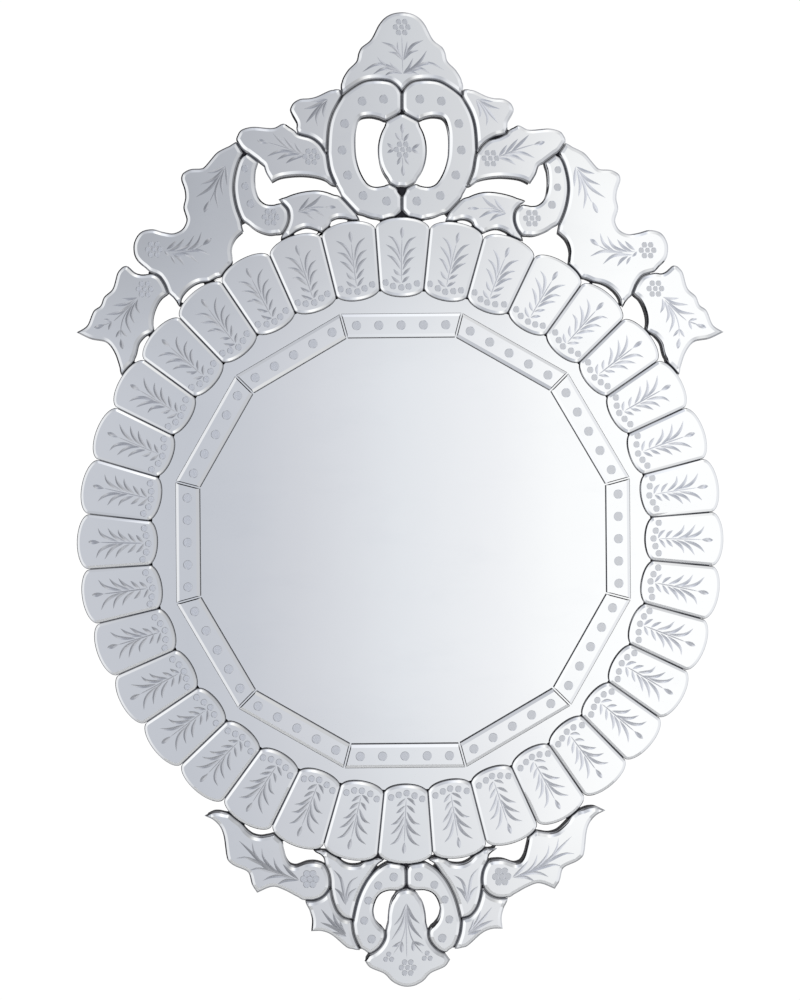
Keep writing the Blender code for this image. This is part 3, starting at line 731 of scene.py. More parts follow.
class Finish:
    """The nodes of one material or of the studio's world."""

    def __init__(self, owner):
        self.owner = owner
        owner.use_nodes = True
        self.tree = owner.node_tree
        self.tree.nodes.clear()

    def node(self, kind, settings=None, inputs=None, output=0):
        """Adds a node with its settings and inputs, and gives one of its outputs."""
        made = self.tree.nodes.new("ShaderNode" + kind)
        for key, value in (settings or {}).items():
            if key == "stops":
                self.set_stops(made.color_ramp.elements, value)
            else:
                setattr(made, key, value)
        for key, value in (inputs or {}).items():
            if isinstance(value, Amount):
                self.tree.links.new(value.socket, made.inputs[key])
            else:
                made.inputs[key].default_value = value
        return Amount(self, made.outputs[output]) if len(made.outputs) else made

    def math_of(self, operation, *values):
        return self.node("Math", {"operation": operation}, dict(enumerate(values)))

    @staticmethod
    def set_stops(elements, stops):
        """Gives a ramp its colours, the first of them at 0 and the last at 1."""
        for position, colour in stops[1:-1]:
            elements.new(position).color = (*colour, 1)
        elements[0].color = (*stops[0][1], 1)
        elements[-1].color = (*stops[-1][1], 1)

    def place(self, scale=(1, 1, 1), turn=(0, 0, 0)):
        """The place on the object, stretched and turned for a pattern."""
        here = self.node("TexCoord", output="Object")
        return self.node("Mapping", None, {"Vector": here, "Scale": scale, "Rotation": turn})

    def part(self, vector, index):
        """The x, y or z of a vector."""
        return self.node("SeparateXYZ", None, {0: vector}, output=index)

    def noise(self, scale, where=None, detail=3.0, roughness=0.5):
        return self.node("TexNoise", None, {
            "Vector": where or self.place(), "Scale": scale, "Detail": detail,
            "Roughness": roughness})

    def blend(self, amount, first, second):
        """A colour between two colours."""
        return self.node("Mix", {"data_type": "RGBA"}, {0: amount, 6: first, 7: second}, output=2)

    def scaled(self, colour, amount):
        """The colour times the amount."""
        return self.node("VectorMath", {"operation": "SCALE"}, {0: colour, "Scale": amount})

    def relief(self, height, depth, strength=1.0):
        """The surface's normal, raised by the height times the depth in metres."""
        return self.node("Bump", None, {"Height": height, "Distance": depth, "Strength": strength})

    def surface(self, **inputs):
        """The material, with the surface shader on its output."""
        named = {key.replace("_", " "): value for key, value in inputs.items()}
        shader = self.node("BsdfPrincipled", None, named)
        self.node("OutputMaterial", None, {"Surface": shader})
        return self.owner


def rgb(red, green, blue):
    return (red, green, blue, 1.0)


def new_finish(name):
    return Finish(bpy.data.materials.new(name))


def silvered_finish():
    """Polished mirror glass, a touch cool, with the faint smears of a wiped surface."""
    finish = new_finish("silvered_glass")
    smear = finish.noise(9.0, finish.place((1, 1, 2.5)), detail=4, roughness=0.6)
    film = finish.noise(60.0, detail=2)
    cloud = smear.rise(0.48, 0.72)
    ripple = finish.noise(22.0, detail=1)
    return finish.surface(
        Base_Color=finish.blend(cloud, rgb(0.962, 0.972, 0.978), rgb(0.945, 0.957, 0.966)),
        Metallic=1.0,
        Roughness=0.012 + cloud * film * 0.05,
        Normal=finish.relief(ripple, 0.00004))


def ground_finish():
    """Glass cut by a wheel and left matt like frost, a little darker on the left of the mirror as
    painted shade and lighter on the right as painted light.
    """
    finish = new_finish("ground_glass")
    grain = finish.noise(2600.0, detail=2, roughness=0.6)
    patch = finish.noise(320.0, detail=3)
    strokes = finish.noise(900.0, finish.place((1, 1, 0.25), (0, 0.6, 0)), detail=2)
    tone = grain * 0.35 + patch * 0.4 + strokes * 0.25
    aside = finish.part(finish.place(), 0)
    colour = finish.blend(tone.rise(0.3, 0.7), rgb(0.6, 0.615, 0.655), rgb(0.65, 0.665, 0.705))
    # Painted shade and light by side: the colour is scaled from 0.84 on the left of the mirror to
    # 1.16 on the right
    painted_light_by_side = aside.rise(-0.12, 0.2, 0.84, 1.16)
    return finish.surface(
        Base_Color=finish.scaled(colour, painted_light_by_side),
        Metallic=1.0,
        Roughness=0.17 + patch * 0.06,
        Normal=finish.relief(grain, 0.00002, 0.5))


def dot_finish():
    """The flat of a dot, ground finer than the strokes, and lighter on the left of the mirror as
    painted light.
    """
    finish = new_finish("ground_dot")
    grain = finish.noise(2600.0, detail=2, roughness=0.6)
    patch = finish.noise(420.0, detail=2)
    aside = finish.part(finish.place(), 0)
    colour = finish.blend(
        (grain * 0.5 + patch * 0.5).rise(0.3, 0.7), rgb(0.615, 0.63, 0.66), rgb(0.645, 0.66, 0.69))
    # Painted light by side: the colour is raised by up to 0.3 towards the left of the mirror
    painted_light_by_side = 1 + aside.rise(-0.24, 0.18, 0.3, 0)
    return finish.surface(
        Base_Color=finish.scaled(colour, painted_light_by_side),
        Metallic=1.0,
        Roughness=0.14 + patch * 0.05,
        Normal=finish.relief(grain, 0.00001, 0.4))


def arris_finish():
    """The thin ground edge round a piece, dark where it looks into the glass, its colour darkened
    besides as painted shade for the gaps between pieces.
    """
    finish = new_finish("ground_arris")
    nick = finish.noise(420.0, detail=3, roughness=0.7)
    tone = nick.rise(0.35, 0.7)
    return finish.surface(
        # The grey base is painted shade: it darkens the joints and outlines where the gaps between
        # pieces lie in shadow
        Base_Color=finish.blend(tone, rgb(0.44, 0.445, 0.46), rgb(0.49, 0.495, 0.51)),
        Metallic=1.0,
        Roughness=0.03 + nick * 0.03,
        Normal=finish.relief(nick, 0.00001, 0.4))


def edge_finish():
    """The sides of the glass, ground with fine upright lines over a dark body."""
    finish = new_finish("glass_edge")
    lines = finish.noise(1500.0, finish.place((1, 0.05, 1)), detail=2)
    tone = finish.noise(130.0, detail=3).rise(0.3, 0.7)
    return finish.surface(
        Base_Color=finish.blend(tone, rgb(0.016, 0.018, 0.024), rgb(0.03, 0.034, 0.04)),
        Metallic=0.0,
        Roughness=0.4 + lines * 0.25,
        Specular_IOR_Level=0.08,
        Normal=finish.relief(lines, 0.0001, 0.4))


def backing_finish():
    """The grey paint that protects the silvering."""
    finish = new_finish("backing_paint")
    patch = finish.noise(50.0, detail=4)
    orange_peel = finish.noise(700.0, detail=2)
    return finish.surface(
        Base_Color=finish.blend(patch.rise(0.3, 0.7), rgb(0.16, 0.17, 0.18), rgb(0.2, 0.21, 0.22)),
        Roughness=0.5 + patch * 0.15,
        Normal=finish.relief(orange_peel, 0.00008, 0.5))


def board_finish():
    """Fibreboard brushed with black paint, a little thin and dusty in places."""
    finish = new_finish("black_painted_board")
    brush = finish.noise(70.0, finish.place((0.15, 1, 1)), detail=4, roughness=0.6)
    patch = finish.noise(16.0, detail=4, roughness=0.6)
    fleck = finish.noise(520.0, detail=2, roughness=0.7)
    wear = patch.rise(0.45, 0.8) * 0.6 + fleck.rise(0.55, 0.8) * 0.4
    return finish.surface(
        Base_Color=finish.blend(wear, rgb(0.026, 0.025, 0.032), rgb(0.05, 0.048, 0.06)),
        Roughness=0.5 + brush * 0.22,
        Specular_IOR_Level=0.12,
        Normal=finish.relief(brush * 0.7 + fleck * 0.3, 0.00025, 0.6))


def pine_finish():
    """Planed pine with its grain along the bar."""
    finish = new_finish("raw_pine")
    along = finish.place((1.2, 26, 26), (0.35, 0.02, 0))
    rings = finish.node("TexWave", {"wave_type": "BANDS", "bands_direction": "Z"}, {
        "Vector": along, "Scale": 0.55, "Distortion": 5.5, "Detail": 3.0, "Detail Scale": 1.2})
    rings = finish.node("SeparateColor", None, {"Color": rings})
    fibre = finish.noise(60.0, finish.place((0.7, 22, 22)), detail=4, roughness=0.65)
    tone = finish.noise(9.0, finish.place((0.6, 3, 3)), detail=2)
    early = finish.blend(tone, rgb(0.66, 0.45, 0.245), rgb(0.74, 0.53, 0.31))
    late = finish.blend(tone, rgb(0.5, 0.29, 0.125), rgb(0.58, 0.36, 0.175))
    return finish.surface(
        Base_Color=finish.blend(rings ** 3 * 0.75 + fibre.rise(0.45, 0.8) * 0.2, early, late),
        Roughness=0.58 + fibre * 0.2,
        Normal=finish.relief(fibre * 0.6 + rings * 0.4, 0.0003, 0.7))


def zinc_finish():
    """Zinc plating with its faint yellow tint and the marks of the driver."""
    finish = new_finish("zinc_plated_steel")
    patch = finish.noise(700.0, detail=3)
    lines = finish.noise(1800.0, finish.place((1, 1, 0.15)), detail=2)
    return finish.surface(
        Base_Color=finish.blend(patch.rise(0.35, 0.65), rgb(0.6, 0.58, 0.52), rgb(0.72, 0.7, 0.66)),
        Metallic=1.0,
        Roughness=0.26 + patch * 0.22,
        Normal=finish.relief(lines, 0.00004, 0.5))


GLASS_PARTS = (silvered_finish(), ground_finish(), arris_finish(), edge_finish(), backing_finish(),
               dot_finish())
BOARD = board_finish()
PINE = pine_finish()
ZINC = zinc_finish()


def shade(piece):
    """Round stretches are shaded smooth, and the flat front keeps a clean edge."""
    mesh = bmesh.new()
    mesh.from_mesh(piece.data)
    flat = {face for face in mesh.faces if face.normal.y < -FLAT_FRONT}
    for face in mesh.faces:
        face.smooth = True
    for edge in mesh.edges:
        first, *others = edge.link_faces
        edge.smooth = len(others) == 1 and (first in flat) == (others[0] in flat) and (
            first.normal.angle(others[0].normal, 0) < math.radians(SMOOTH_BELOW))
    mesh.to_mesh(piece.data)
    mesh.free()


def hand_over(piece, slot, *nodes):
    """Gives the finished piece its place in the frame."""
    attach(piece, "root")
    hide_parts(*nodes)


# Glass pieces of the ring


def tile_loop():
    """A tile's outline as if it stood at the top of the ring, x across and z outward."""
    spread = math.tan(math.radians(180 / TILE_COUNT))
    trim = TILE_GAP / 2 / math.cos(math.radians(180 / TILE_COUNT))
    loop = []
    for radius, bulge, side in ((TILE_INNER_RADIUS, -TILE_INNER_BULGE, -1),
                                (TILE_OUTER_RADIUS, TILE_OUTER_BULGE, 1)):
        for step in range(TILE_END_POINTS):
            angle = math.pi * step / (TILE_END_POINTS - 1)
            across = side * math.cos(angle) * (radius * spread - trim)
            loop.append((across, radius + bulge * math.sin(angle)))
    return np.array(loop)


def tile_marks(hand):
    """A sprig with a row of five dots under it, a little different on each tile."""
    marks = Engraving()
    lean = hand.uniform(-SPRIG_LEAN, SPRIG_LEAN)
    reach = hand.uniform(-SPRIG_REACH, SPRIG_REACH)

    def by_hand(point):
        x, z = point
        height = (z - SPRIG_FOOT) / SPRIG_HEIGHT
        return x + lean * height, z + reach * height

    def strayed(point, most):
        return [place + hand.uniform(-far, far) for place, far in zip(point, most)]

    for point in ((-16.4, 258.1), (-8.6, 254.5), (-0.5, 252.9), (7.4, 254.7), (14.9, 257.4)):
        marks.dot(*strayed(point, DOT_STRAY), TILE_DOT_RADIUS)
    marks.stem((-0.3, 257.3), (0, 280), (0.6, 303))
    marks.bud((0.5, 301), (0.9, 313))
    for points in (
            ((-0.8, 283.3), (-4.1, 295.3), (-8.5, 301.3), (-14.9, 305.5)),
            ((-0.3, 276.5), (-3.6, 285.6), (-8.5, 291), (-16.2, 295.2)),
            ((-0.9, 270.5), (-5.2, 278), (-9, 282), (-14.8, 284.3)),
            ((-0.7, 264.5), (-5.6, 268), (-9.3, 272.6)),
            ((-0.5, 257), (-5.9, 260.1), (-9.8, 264.5)),
            ((1.2, 282.5), (5.1, 294.3), (8.9, 300.3), (14.8, 304.4)),
            ((0.9, 275), (5.1, 284.5), (9.5, 289.9), (15.9, 293.6)),
            ((0.7, 270), (5.7, 278.5), (10, 282.3), (14.6, 284.5)),
            ((0.2, 264.8), (4.8, 269.2), (9.4, 273.4)),
            ((0, 257.6), (4.6, 262.1), (8.6, 265.4))):
        *inner, tip = points
        width = BLADE_WIDTH if len(points) > 3 else SHORT_BLADE
        marks.blade(*inner, strayed(tip, TIP_STRAY), width=width)
    marks.strokes = marks.moved(by_hand).strokes
    return marks


def turned_on_ring(degrees):
    """Turns clockwise, as seen from the front, about the ring's centre."""
    return about(RING_CENTRE, Matrix.Rotation(math.radians(degrees), 4, "Y"))


def tilted_face(piece, hand):
    """Leans the front of a tile a little, as the hand-set ones lean in their cement."""
    across, up = (hand.uniform(-TILE_TILT, TILE_TILT) for _ in range(2))
    middle = RING_HEIGHT + (TILE_INNER_RADIUS + TILE_OUTER_RADIUS) / 2 * MM
    for vert in piece.data.vertices:
        if vert.co.y < (PIECE_FRONT + PIECE_BACK) / 2 * MM:
            vert.co.y += vert.co.x * across + (vert.co.z - middle) * up


def tile_place(index):
    """Turns a tile from the top of the ring to its own place, leaning a little as it was set."""
    degrees = (index - 1) * 360 / TILE_COUNT - TILE_TURN
    across = math.sin(math.radians(degrees))
    middle = RING_CENTRE + Vector((0, 0, (TILE_INNER_RADIUS + TILE_OUTER_RADIUS) / 2 * MM))
    lean = math.radians(TILE_LEAN - TILE_LEAN_CHANGE * across)
    lean = about(middle, Matrix.Rotation(lean, 4, "Y"))
    size = 1 - TILES_SPREAD * across
    spread = about(RING_CENTRE, Matrix.Diagonal((size, 1, size, 1)))
    aside = Matrix.Translation((TILES_TO_RIGHT * MM, 0, 0))
    return aside @ turned_on_ring(degrees) @ spread @ lean


def tile_outline(index):
    """The outline of a tile at its place."""
    place = tile_place(index)
    return np.array([measured(place @ placed(x, 0, z)) for x, z in tile_loop()])


def ring_of_tiles():
    """Thirty-six tiles, each engraved by itself and then set at its place in the ring."""
    blank = glass_plate("ring_tile", tile_loop(), PIECE_FRONT, PIECE_BACK, TILE_BEVEL, TILE_ARRIS)
    for index in range(TILE_COUNT):
        hand = random.Random(index)
        tile = copied(blank, f"ring_tile_{index + 1:02d}", Matrix.Identity(4))
        tile_marks(hand).cut_into(tile, PIECE_FRONT)
        shade(tile)
        tilted_face(tile, hand)
        tile.data.transform(tile_place(index))
        sector = index // TILES_PER_SECTOR + 1
        hand_over(tile, "engraved_silvered_glass", f"ring_tiles_{sector:02d}")
    bpy.data.objects.remove(blank)


def rim_of_strips():
    """Twelve mitred strips round the pane, each with a row of five dots."""
    loop = outlines_of("rim_strip_01")[0]
    first = glass_plate("rim_strip_glass", loop, STRIP_FRONT, STRIP_BACK, STRIP_BEVEL, STRIP_ARRIS,
                        strip_moved_in)
    middle = node_middle("rim_strip_01")
    along = np.array([math.cos(math.radians(STRIP_TURN)), math.sin(math.radians(STRIP_TURN))])
    marks = Engraving()
    for step in range(-2, 3):
        marks.dot(*(middle + along * step * STRIP_DOT_PITCH), STRIP_DOT_RADIUS)
    marks.cut_into(first, STRIP_FRONT)
    shade(first)
    for index in range(STRIP_COUNT):
        turn = turned_on_ring(index * 360 / STRIP_COUNT)
        place = Matrix.Translation((STRIPS_TO_RIGHT * MM, 0, 0)) @ turn
        strip = copied(first, f"rim_strip_glass_{index + 1:02d}", place)
        hand_over(strip, "engraved_silvered_glass", f"rim_strip_{index + 1:02d}")
    bpy.data.objects.remove(first)


def plain_pane():
    """The round mirror behind the rim, with its edge taken off."""
    pane = solid(
        "mirror_pane", bpy.ops.mesh.primitive_cylinder_add, vertices=ROUND_SEGMENTS,
        radius=PANE_RADIUS * MM, depth=(PANE_BACK - PANE_FRONT) * MM, rotation=FACING_FRONT,
        location=placed(0, (PANE_BACK + PANE_FRONT) / 2, 0))
    for material in GLASS_PARTS:
        pane.data.materials.append(material)
    modified(pane, "BEVEL", width=ARRIS * MM, segments=1, limit_method="ANGLE", material=RIM)
    for face in pane.data.polygons:
        if face.normal.y > FLAT_FRONT:
            face.material_index = BACKING
        elif abs(face.normal.y) < 1 - FLAT_FRONT:
            face.material_index = EDGE
    shade(pane)
    hand_over(pane, "silvered_glass", "round_pane")


# Engraving of the crown


def crest_marks():
    marks = Engraving()
    marks.flower(0.5, 513.5)
    marks.stem((0.5, 506), (1.2, 490), (1.5, 467))
    marks.blade((2, 480), (-7, 493), (-21, 499))
    marks.blades(
        (2, 480, -5, 486.5, -14, 489), (2, 480, -3, 491, -4, 500), (2, 480, 5, 491, 6, 500),
        width=SLIM_BLADE)
    marks.blade((2, 480), (11, 495), (23, 501))
    marks.blade((2, 480), (9, 488), (18, 490.5), width=SLIM_BLADE)
    marks.blades(
        (1.5, 467, -7, 472, -24, 476.5, -40, 468), (1.5, 467, -17, 472, -29, 466))
    marks.blade((1.5, 467), (-11, 468), (-17.5, 464), width=SLIM_BLADE)
    marks.blade((1.5, 467), (-10, 472), (-19, 478), (-25, 485))
    marks.blade((1.5, 467), (-8, 474), (-12, 479), width=SLIM_BLADE)
    marks.blades(
        (1.5, 467, 10, 472, 28, 477.5, 44, 470), (1.5, 467, 19, 472, 30, 466.5))
    marks.blade((1.5, 467), (12, 468), (19, 465), width=SLIM_BLADE)
    marks.blade((1.5, 467), (12, 473), (20, 481), (26, 491))
    marks.blade((1.5, 467), (8, 474), (12, 483), width=SLIM_BLADE)
    return marks


def big_scroll_marks():
    marks = Engraving()
    for x, z in ((-39, 439.5), (-17.5, 441.5), (-56.5, 417), (-59, 390.5), (-53.5, 365.5),
                 (-38, 345), (-14.5, 339.5)):
        marks.dot(x, z, SCROLL_DOT_RADIUS)
    return marks


def medallion_marks():
    marks = Engraving()
    marks.flower(1.5, 391)
    marks.stem((1, 409), (1, 400))
    marks.stem((1.5, 383.5), (1.5, 374))
    marks.bud((1, 406), (1, 417.5))
    marks.bud((1.5, 376.5), (2, 364.5))
    marks.blades(
        (-0.5, 399.5, -6.5, 408), (2, 399, 8, 407.5), (-7, 391.5, -14.5, 397.5),
        (-6.5, 392, -14.5, 387.5), (10, 391, 19, 397.5), (9.5, 391.5, 18.5, 386.5),
        (0, 384, -4.5, 375.5), (3, 384, 8, 375.5))
    return marks


def side_wing_marks():
    marks = Engraving()
    marks.blades(
        (-73.5, 441.5, -82, 440, -91, 439), (-76, 440.5, -88, 434, -98, 431.5),
        (-78, 439, -89, 425.5, -96, 417), (-75, 440, -81.5, 432, -85, 423, -83.5, 414),
        (-73.5, 441.5, -77, 433, -78, 428, -77, 422.5))
    return marks


def flower_leaf_marks():
    marks = Engraving()
    marks.flower(-90, 384)
    marks.stem((-97, 385), (-117, 393), (-135, 398.5))
    marks.bud((-133, 397.5), (-144.5, 400.5))
    marks.blades(
        (-110, 390, -121, 400, -129, 408), (-104, 388, -112, 397, -118, 404),
        (-98, 386, -103, 392, -107, 398), (-106, 388.5, -121, 389.5, -135, 384),
        (-101, 386.5, -114, 386, -125, 380.5), (-97, 385, -108, 382, -116, 377))
    return marks


def great_wing_marks():
    marks = Engraving()
    marks.flower(-247.3, 291.2)
    marks.blades(
        (-175.5, 375, -185, 370, -195, 367.5), (-176.5, 373, -187, 362, -201, 356),
        (-179, 369, -191, 353, -206, 343), (-175.5, 375, -174.5, 364, -174, 354),
        (-176.5, 373, -180, 358, -178, 344), (-179.5, 367, -185.5, 349, -183, 331.5))
    marks.stem((-180, 365), (-188, 346), (-192, 338))
    marks.bud((-192, 340), (-197.5, 328))
    marks.blade((-237, 290), (-234.5, 287), (-231.5, 284.5), width=SLIM_BLADE)
    marks.blades(
        (-235, 291, -229, 295.5, -224.4, 300.6), (-233, 289, -223, 294.6, -216.4, 302.6),
        (-229, 289, -213.6, 294.6, -206.6, 306.1), (-216, 288.6, -203.6, 297.6, -199.6, 309.1))
    marks.stem((-237, 289.6), (-208, 291), (-197, 296.6))
    marks.bud((-199, 295), (-189.6, 302.6))
    marks.blades(
        (-224, 288.3, -202, 290.1, -188.9, 284.6), (-233, 286.6, -213, 285.6, -201.9, 276.6),
        (-228, 285.6, -221.6, 281.6, -216.6, 274.8))
    marks.blade((-231, 285), (-228, 281), (-226, 276.6), width=SLIM_BLADE)
    return marks


def shepherd_scroll_marks():
    marks = Engraving()
    marks.flower(-130.5, 323.5, radius=3.0)
    marks.dot(-156.5, 372, 3.7)
    marks.dot(-156, 354.5, 3.9)
    marks.dot(-150.5, 337, 4.2)
    return marks


def curled_leaf_marks():
    marks = Engraving()
    marks.stem((-104.5, 328.5), (-91, 333), (-76, 333.5))
    marks.bud((-77, 333.5), (-65, 333.5), width=3.6)
    marks.blades(
        (-103, 329.5, -96, 337, -91.5, 344), (-98, 331.5, -87, 338, -79, 346),
        (-100, 329.5, -87, 330, -75.5, 323.5), (-104, 328.5, -94, 326.5, -86.5, 320.5))
    return marks


def low_wing_marks():
    marks = Engraving()
    marks.flower(-256.5, 251.5)
    marks.stem((-265, 241), (-280.5, 225.8), (-288.5, 218.8))
    marks.stem((-289.5, 218.8), (-298.5, 215.5))
    marks.stem((-268, 237), (-276.5, 225.3), (-280, 214.3), (-280.3, 202.3))
    marks.bud((-296.5, 215.8), (-307.5, 212.5))
    marks.bud((-280.5, 202.3), (-278.8, 191.3))
    marks.blade((-263.5, 243), (-271.5, 241.5), (-280.5, 242), width=SLIM_BLADE)
    marks.blades(
        (-265.5, 242, -275.5, 236.8, -290, 235.1), (-269, 238.5, -280.5, 228.8, -297, 226))
    marks.blades(
        (-289.5, 218.8, -293.5, 220.5, -298.5, 221.3), (-289.5, 218.8, -291.5, 214.3, -293, 210.3),
        (-280.3, 211.3, -277.5, 207.3, -274, 203.3), (-280.5, 211.3, -283, 207.3, -285.8, 202.8),
        width=SLIM_BLADE)
    marks.blades(
        (-268.5, 237, -274.5, 220.3, -269.8, 206.3), (-265.5, 239.5, -270, 226.3, -266.8, 216.6),
        (-263.3, 241.8, -264.5, 234.3, -261.2, 226.8))
    return marks


# Engraving of the foot


def foot_wing_marks():
    marks = Engraving()
    marks.flower(-91.5, -338.5, radius=3.6)
    marks.blades(
        (-119, -335, -140, -322, -152, -310, -163.5, -299),
        (-116, -336, -138, -325, -147, -312, -149.5, -299.5),
        (-111, -337.5, -127, -330, -138, -317, -139.5, -306.5),
        (-105, -339, -118, -334, -125, -326, -128, -316), (-102, -339.5, -111, -332, -119, -323),
        (-122, -334, -140, -323.5, -156, -317, -166.5, -318),
        (-116, -336, -132, -330.5, -145, -328, -153, -330.5),
        (-107, -339, -121, -335.5, -131, -336.5, -139, -340.5),
        (-102, -339.5, -116, -340, -125, -344.5))
    return marks


def split_leaf_marks():
    marks = Engraving()
    marks.blades(
        (-55.5, -365.5, -58, -349, -61, -337, -68.5, -328.5), (-56, -364, -61, -352.5, -67.5, -347),
        (-55.5, -365.5, -54, -352, -50, -341, -42, -335.5), (-55, -363, -51, -353, -44, -347))
    return marks


def small_scroll_marks():
    marks = Engraving()
    marks.dot(-7.5, -336.5, 4.4)
    marks.dot(-23, -345, 4.1)
    marks.dot(-33, -360, 4.0)
    marks.dot(-37, -380, 4.1)
    marks.dot(-29.5, -398.5, 4.4)
    return marks


def small_leaf_marks():
    marks = Engraving()
    marks.blades(
        (-54.5, -396, -71, -380, -81, -367.5), (-56, -393, -65, -382, -69, -370.5),
        (-56, -395, -68, -387, -81.5, -381.5), (-55, -394, -59, -389, -61.5, -380),
        (-54.5, -396, -63, -393.5, -72, -391))
    return marks


def pendant_marks():
    marks = Engraving()
    marks.flower(6.5, -427)
    marks.trefoil(-12.5, -417)
    marks.trefoil(26, -416)
    marks.stem((5, -364), (5.2, -390), (5.5, -419))
    marks.stem((4.5, -367), (4, -387), (0, -401), (-9, -415))
    marks.stem((5.5, -367), (7.5, -387), (12, -401), (22.5, -414))
    marks.bud((0.5, -400), (0.5, -412.5))
    marks.bud((12, -399), (12, -411))
    marks.blades(
        (5, -362.5, 0, -377, -8, -385.5), (5, -362.5, 11, -376, 19, -383.5),
        (4.5, -366, 1, -383, -10.5, -400.5), (5.5, -366, 10, -385, 22, -399.5),
        (0.5, -400.5, -4, -404, -9.5, -406.5), (12, -400.5, 18, -403.5, 23.5, -405.5))
    return marks


# Ornaments

CROWN_PAIRS = {
    "big_scroll": big_scroll_marks, "side_wing": side_wing_marks,
    "flower_leaf": flower_leaf_marks, "curled_leaf": curled_leaf_marks,
    "shepherd_scroll": shepherd_scroll_marks, "great_wing": great_wing_marks,
    "low_wing": low_wing_marks}
FOOT_PAIRS = {
    "foot_wing": foot_wing_marks, "split_leaf": split_leaf_marks,
    "small_scroll": small_scroll_marks, "small_leaf": small_leaf_marks}


def turned(point, degrees):
    """The point turned counter-clockwise about the ring's centre, as seen from the front."""
    angle = math.radians(degrees)
    x, z = point
    return np.array([x * math.cos(angle) - z * math.sin(angle),
                     x * math.sin(angle) + z * math.cos(angle)])


def other_hand(point, degrees):
    """The point's place on the piece of the other hand, in a group turned by the degrees."""
    x, z = turned(point, -degrees)
    return turned((-x, z), degrees)


def stepped(loop):
    """The loop with points added so that none of its edges is long."""
    points = []
    for start, end in zip(loop, np.roll(loop, -1, axis=0)):
        count = math.ceil(math.dist(start, end) / LAYING_STEP)
        points += [start + (end - start) * step / count for step in range(count)]
    return np.array(points)


def outward(loop):
    """At each point of the loop, the way out of it."""
    along = np.roll(loop, -1, axis=0) - loop
    along /= np.linalg.norm(along, axis=1)[:, None]
    normals = np.stack([along[:, 1], -along[:, 0]], axis=1)
    ways = normals + np.roll(normals, 1, axis=0)
    ways /= np.linalg.norm(ways, axis=1)[:, None]
    return ways / np.maximum((ways * normals).sum(axis=1), BLUNTEST_WAY)[:, None]


def room_to(loops, points):
    """How far each point is from the nearest loop, negative inside it."""
    room = np.full(len(points), NO_NEIGHBOUR)
    for loop in loops:
        if np.linalg.norm(loop.mean(axis=0) - points.mean(axis=0)) > FAR_APART:
            continue
        distances = distance_to_segments(points, loop, np.roll(loop, -1, axis=0))
        for index in np.flatnonzero(distances < MAY_OVERLAP):
            if within(points[index], loop):
                distances[index] *= -1
        room = np.minimum(room, distances)
    return room


def laid_outlines():
    """Each ornament's outline, let out to where it nearly touches its neighbours."""
    tiles = [tile_outline(index) for index in range(TILE_COUNT)]
    nodes = ["crest", "oval_medallion", "pendant"]
    for name in (*CROWN_PAIRS, *FOOT_PAIRS):
        nodes += [f"{name}_left", f"{name}_right"]
    drawn = {node: stepped(smoothed_loop(outlines_of(node)[0])) for node in nodes}
    laid = {}
    for node, loop in drawn.items():
        others = [other for name, other in drawn.items() if name != node]
        room = np.minimum((room_to(others, loop) - LAID_GAP) / 2, room_to(tiles, loop) - LAID_GAP)
        at_head = node.startswith("small_scroll") & (loop[:, 1] > HEAD_BOTTOM)
        full = np.where(at_head, FULL_HEAD_GROWTH, FULL_GROWTH)
        none = np.where(at_head, NO_HEAD_GROWTH, NO_GROWTH)
        free = np.clip((room - full) / (none - full), 0, 1)
        free = free * free * (3 - 2 * free)
        growth = room * (1 - free) + OUTER_GROWTH * free
        shifted = [np.roll(growth, step) for step in range(-SOFTENING, SOFTENING + 1)]
        softened = sum(shifted) / len(shifted)
        growth = np.minimum(softened, np.maximum(room, OUTER_GROWTH * (room > OUTER_GROWTH)))
        laid[node] = thinned_loop(loop + outward(loop) * growth[:, None], OUTLINE_ERROR)
    return laid


def ornament(node, marks):
    """One engraved ornament of the crown or the foot, in place of its node."""
    piece = glass_plate(f"{node}_glass", LAID[node], PIECE_FRONT, PIECE_BACK, BEVEL_WIDTH, ARRIS)
    marks.cut_into(piece, PIECE_FRONT)
    shade(piece)
    hand_over(piece, "engraved_silvered_glass", node)


def pair_of_ornaments(name, marks, degrees=0.0):
    """Both hands of an ornament, the right one with the left one's marks turned over."""
    left = outlines_of(f"{name}_left")[0]
    right = outlines_of(f"{name}_right")[0]
    shift = right.mean(axis=0) - np.mean([other_hand(point, degrees) for point in left], axis=0)
    ornament(f"{name}_left", marks)
    ornament(f"{name}_right", marks.moved(lambda point: other_hand(point, degrees) + shift))


def crown():
    ornament("crest", crest_marks())
    ornament("oval_medallion", medallion_marks())
    for name, marks in CROWN_PAIRS.items():
        pair_of_ornaments(name, marks())


def foot():
    ornament("pendant", pendant_marks())
    for name, marks in FOOT_PAIRS.items():
        pair_of_ornaments(name, marks(), LOWER_GROUP_TURN)


# Back


def board_outlines():
    """The board's outline and windows, a little inside the glass that it carries."""
    wider = []
    for loop in list(LAID.values()) + [tile_outline(index) for index in range(TILE_COUNT)]:
        wider += moved_in([loop], -BOARD_BRIDGE)
    turns = np.linspace(0, 2 * math.pi, ROUND_SEGMENTS, endpoint=False)
    wider.append(np.stack([np.cos(turns), np.sin(turns)], axis=1) * PANE_RADIUS)
    outlines = []
    for loop in moved_in(union_of(wider), BOARD_SETBACK + BOARD_BRIDGE):
        in_middle = abs(loop[:, 0].mean()) < NEAR_MIDDLE
        if abs(signed_area(loop)) > (LEAST_MIDDLE_WINDOW if in_middle else LEAST_WINDOW):
            outlines.append(loop * BOARD_STRETCH + BOARD_SLIP)
    return outlines


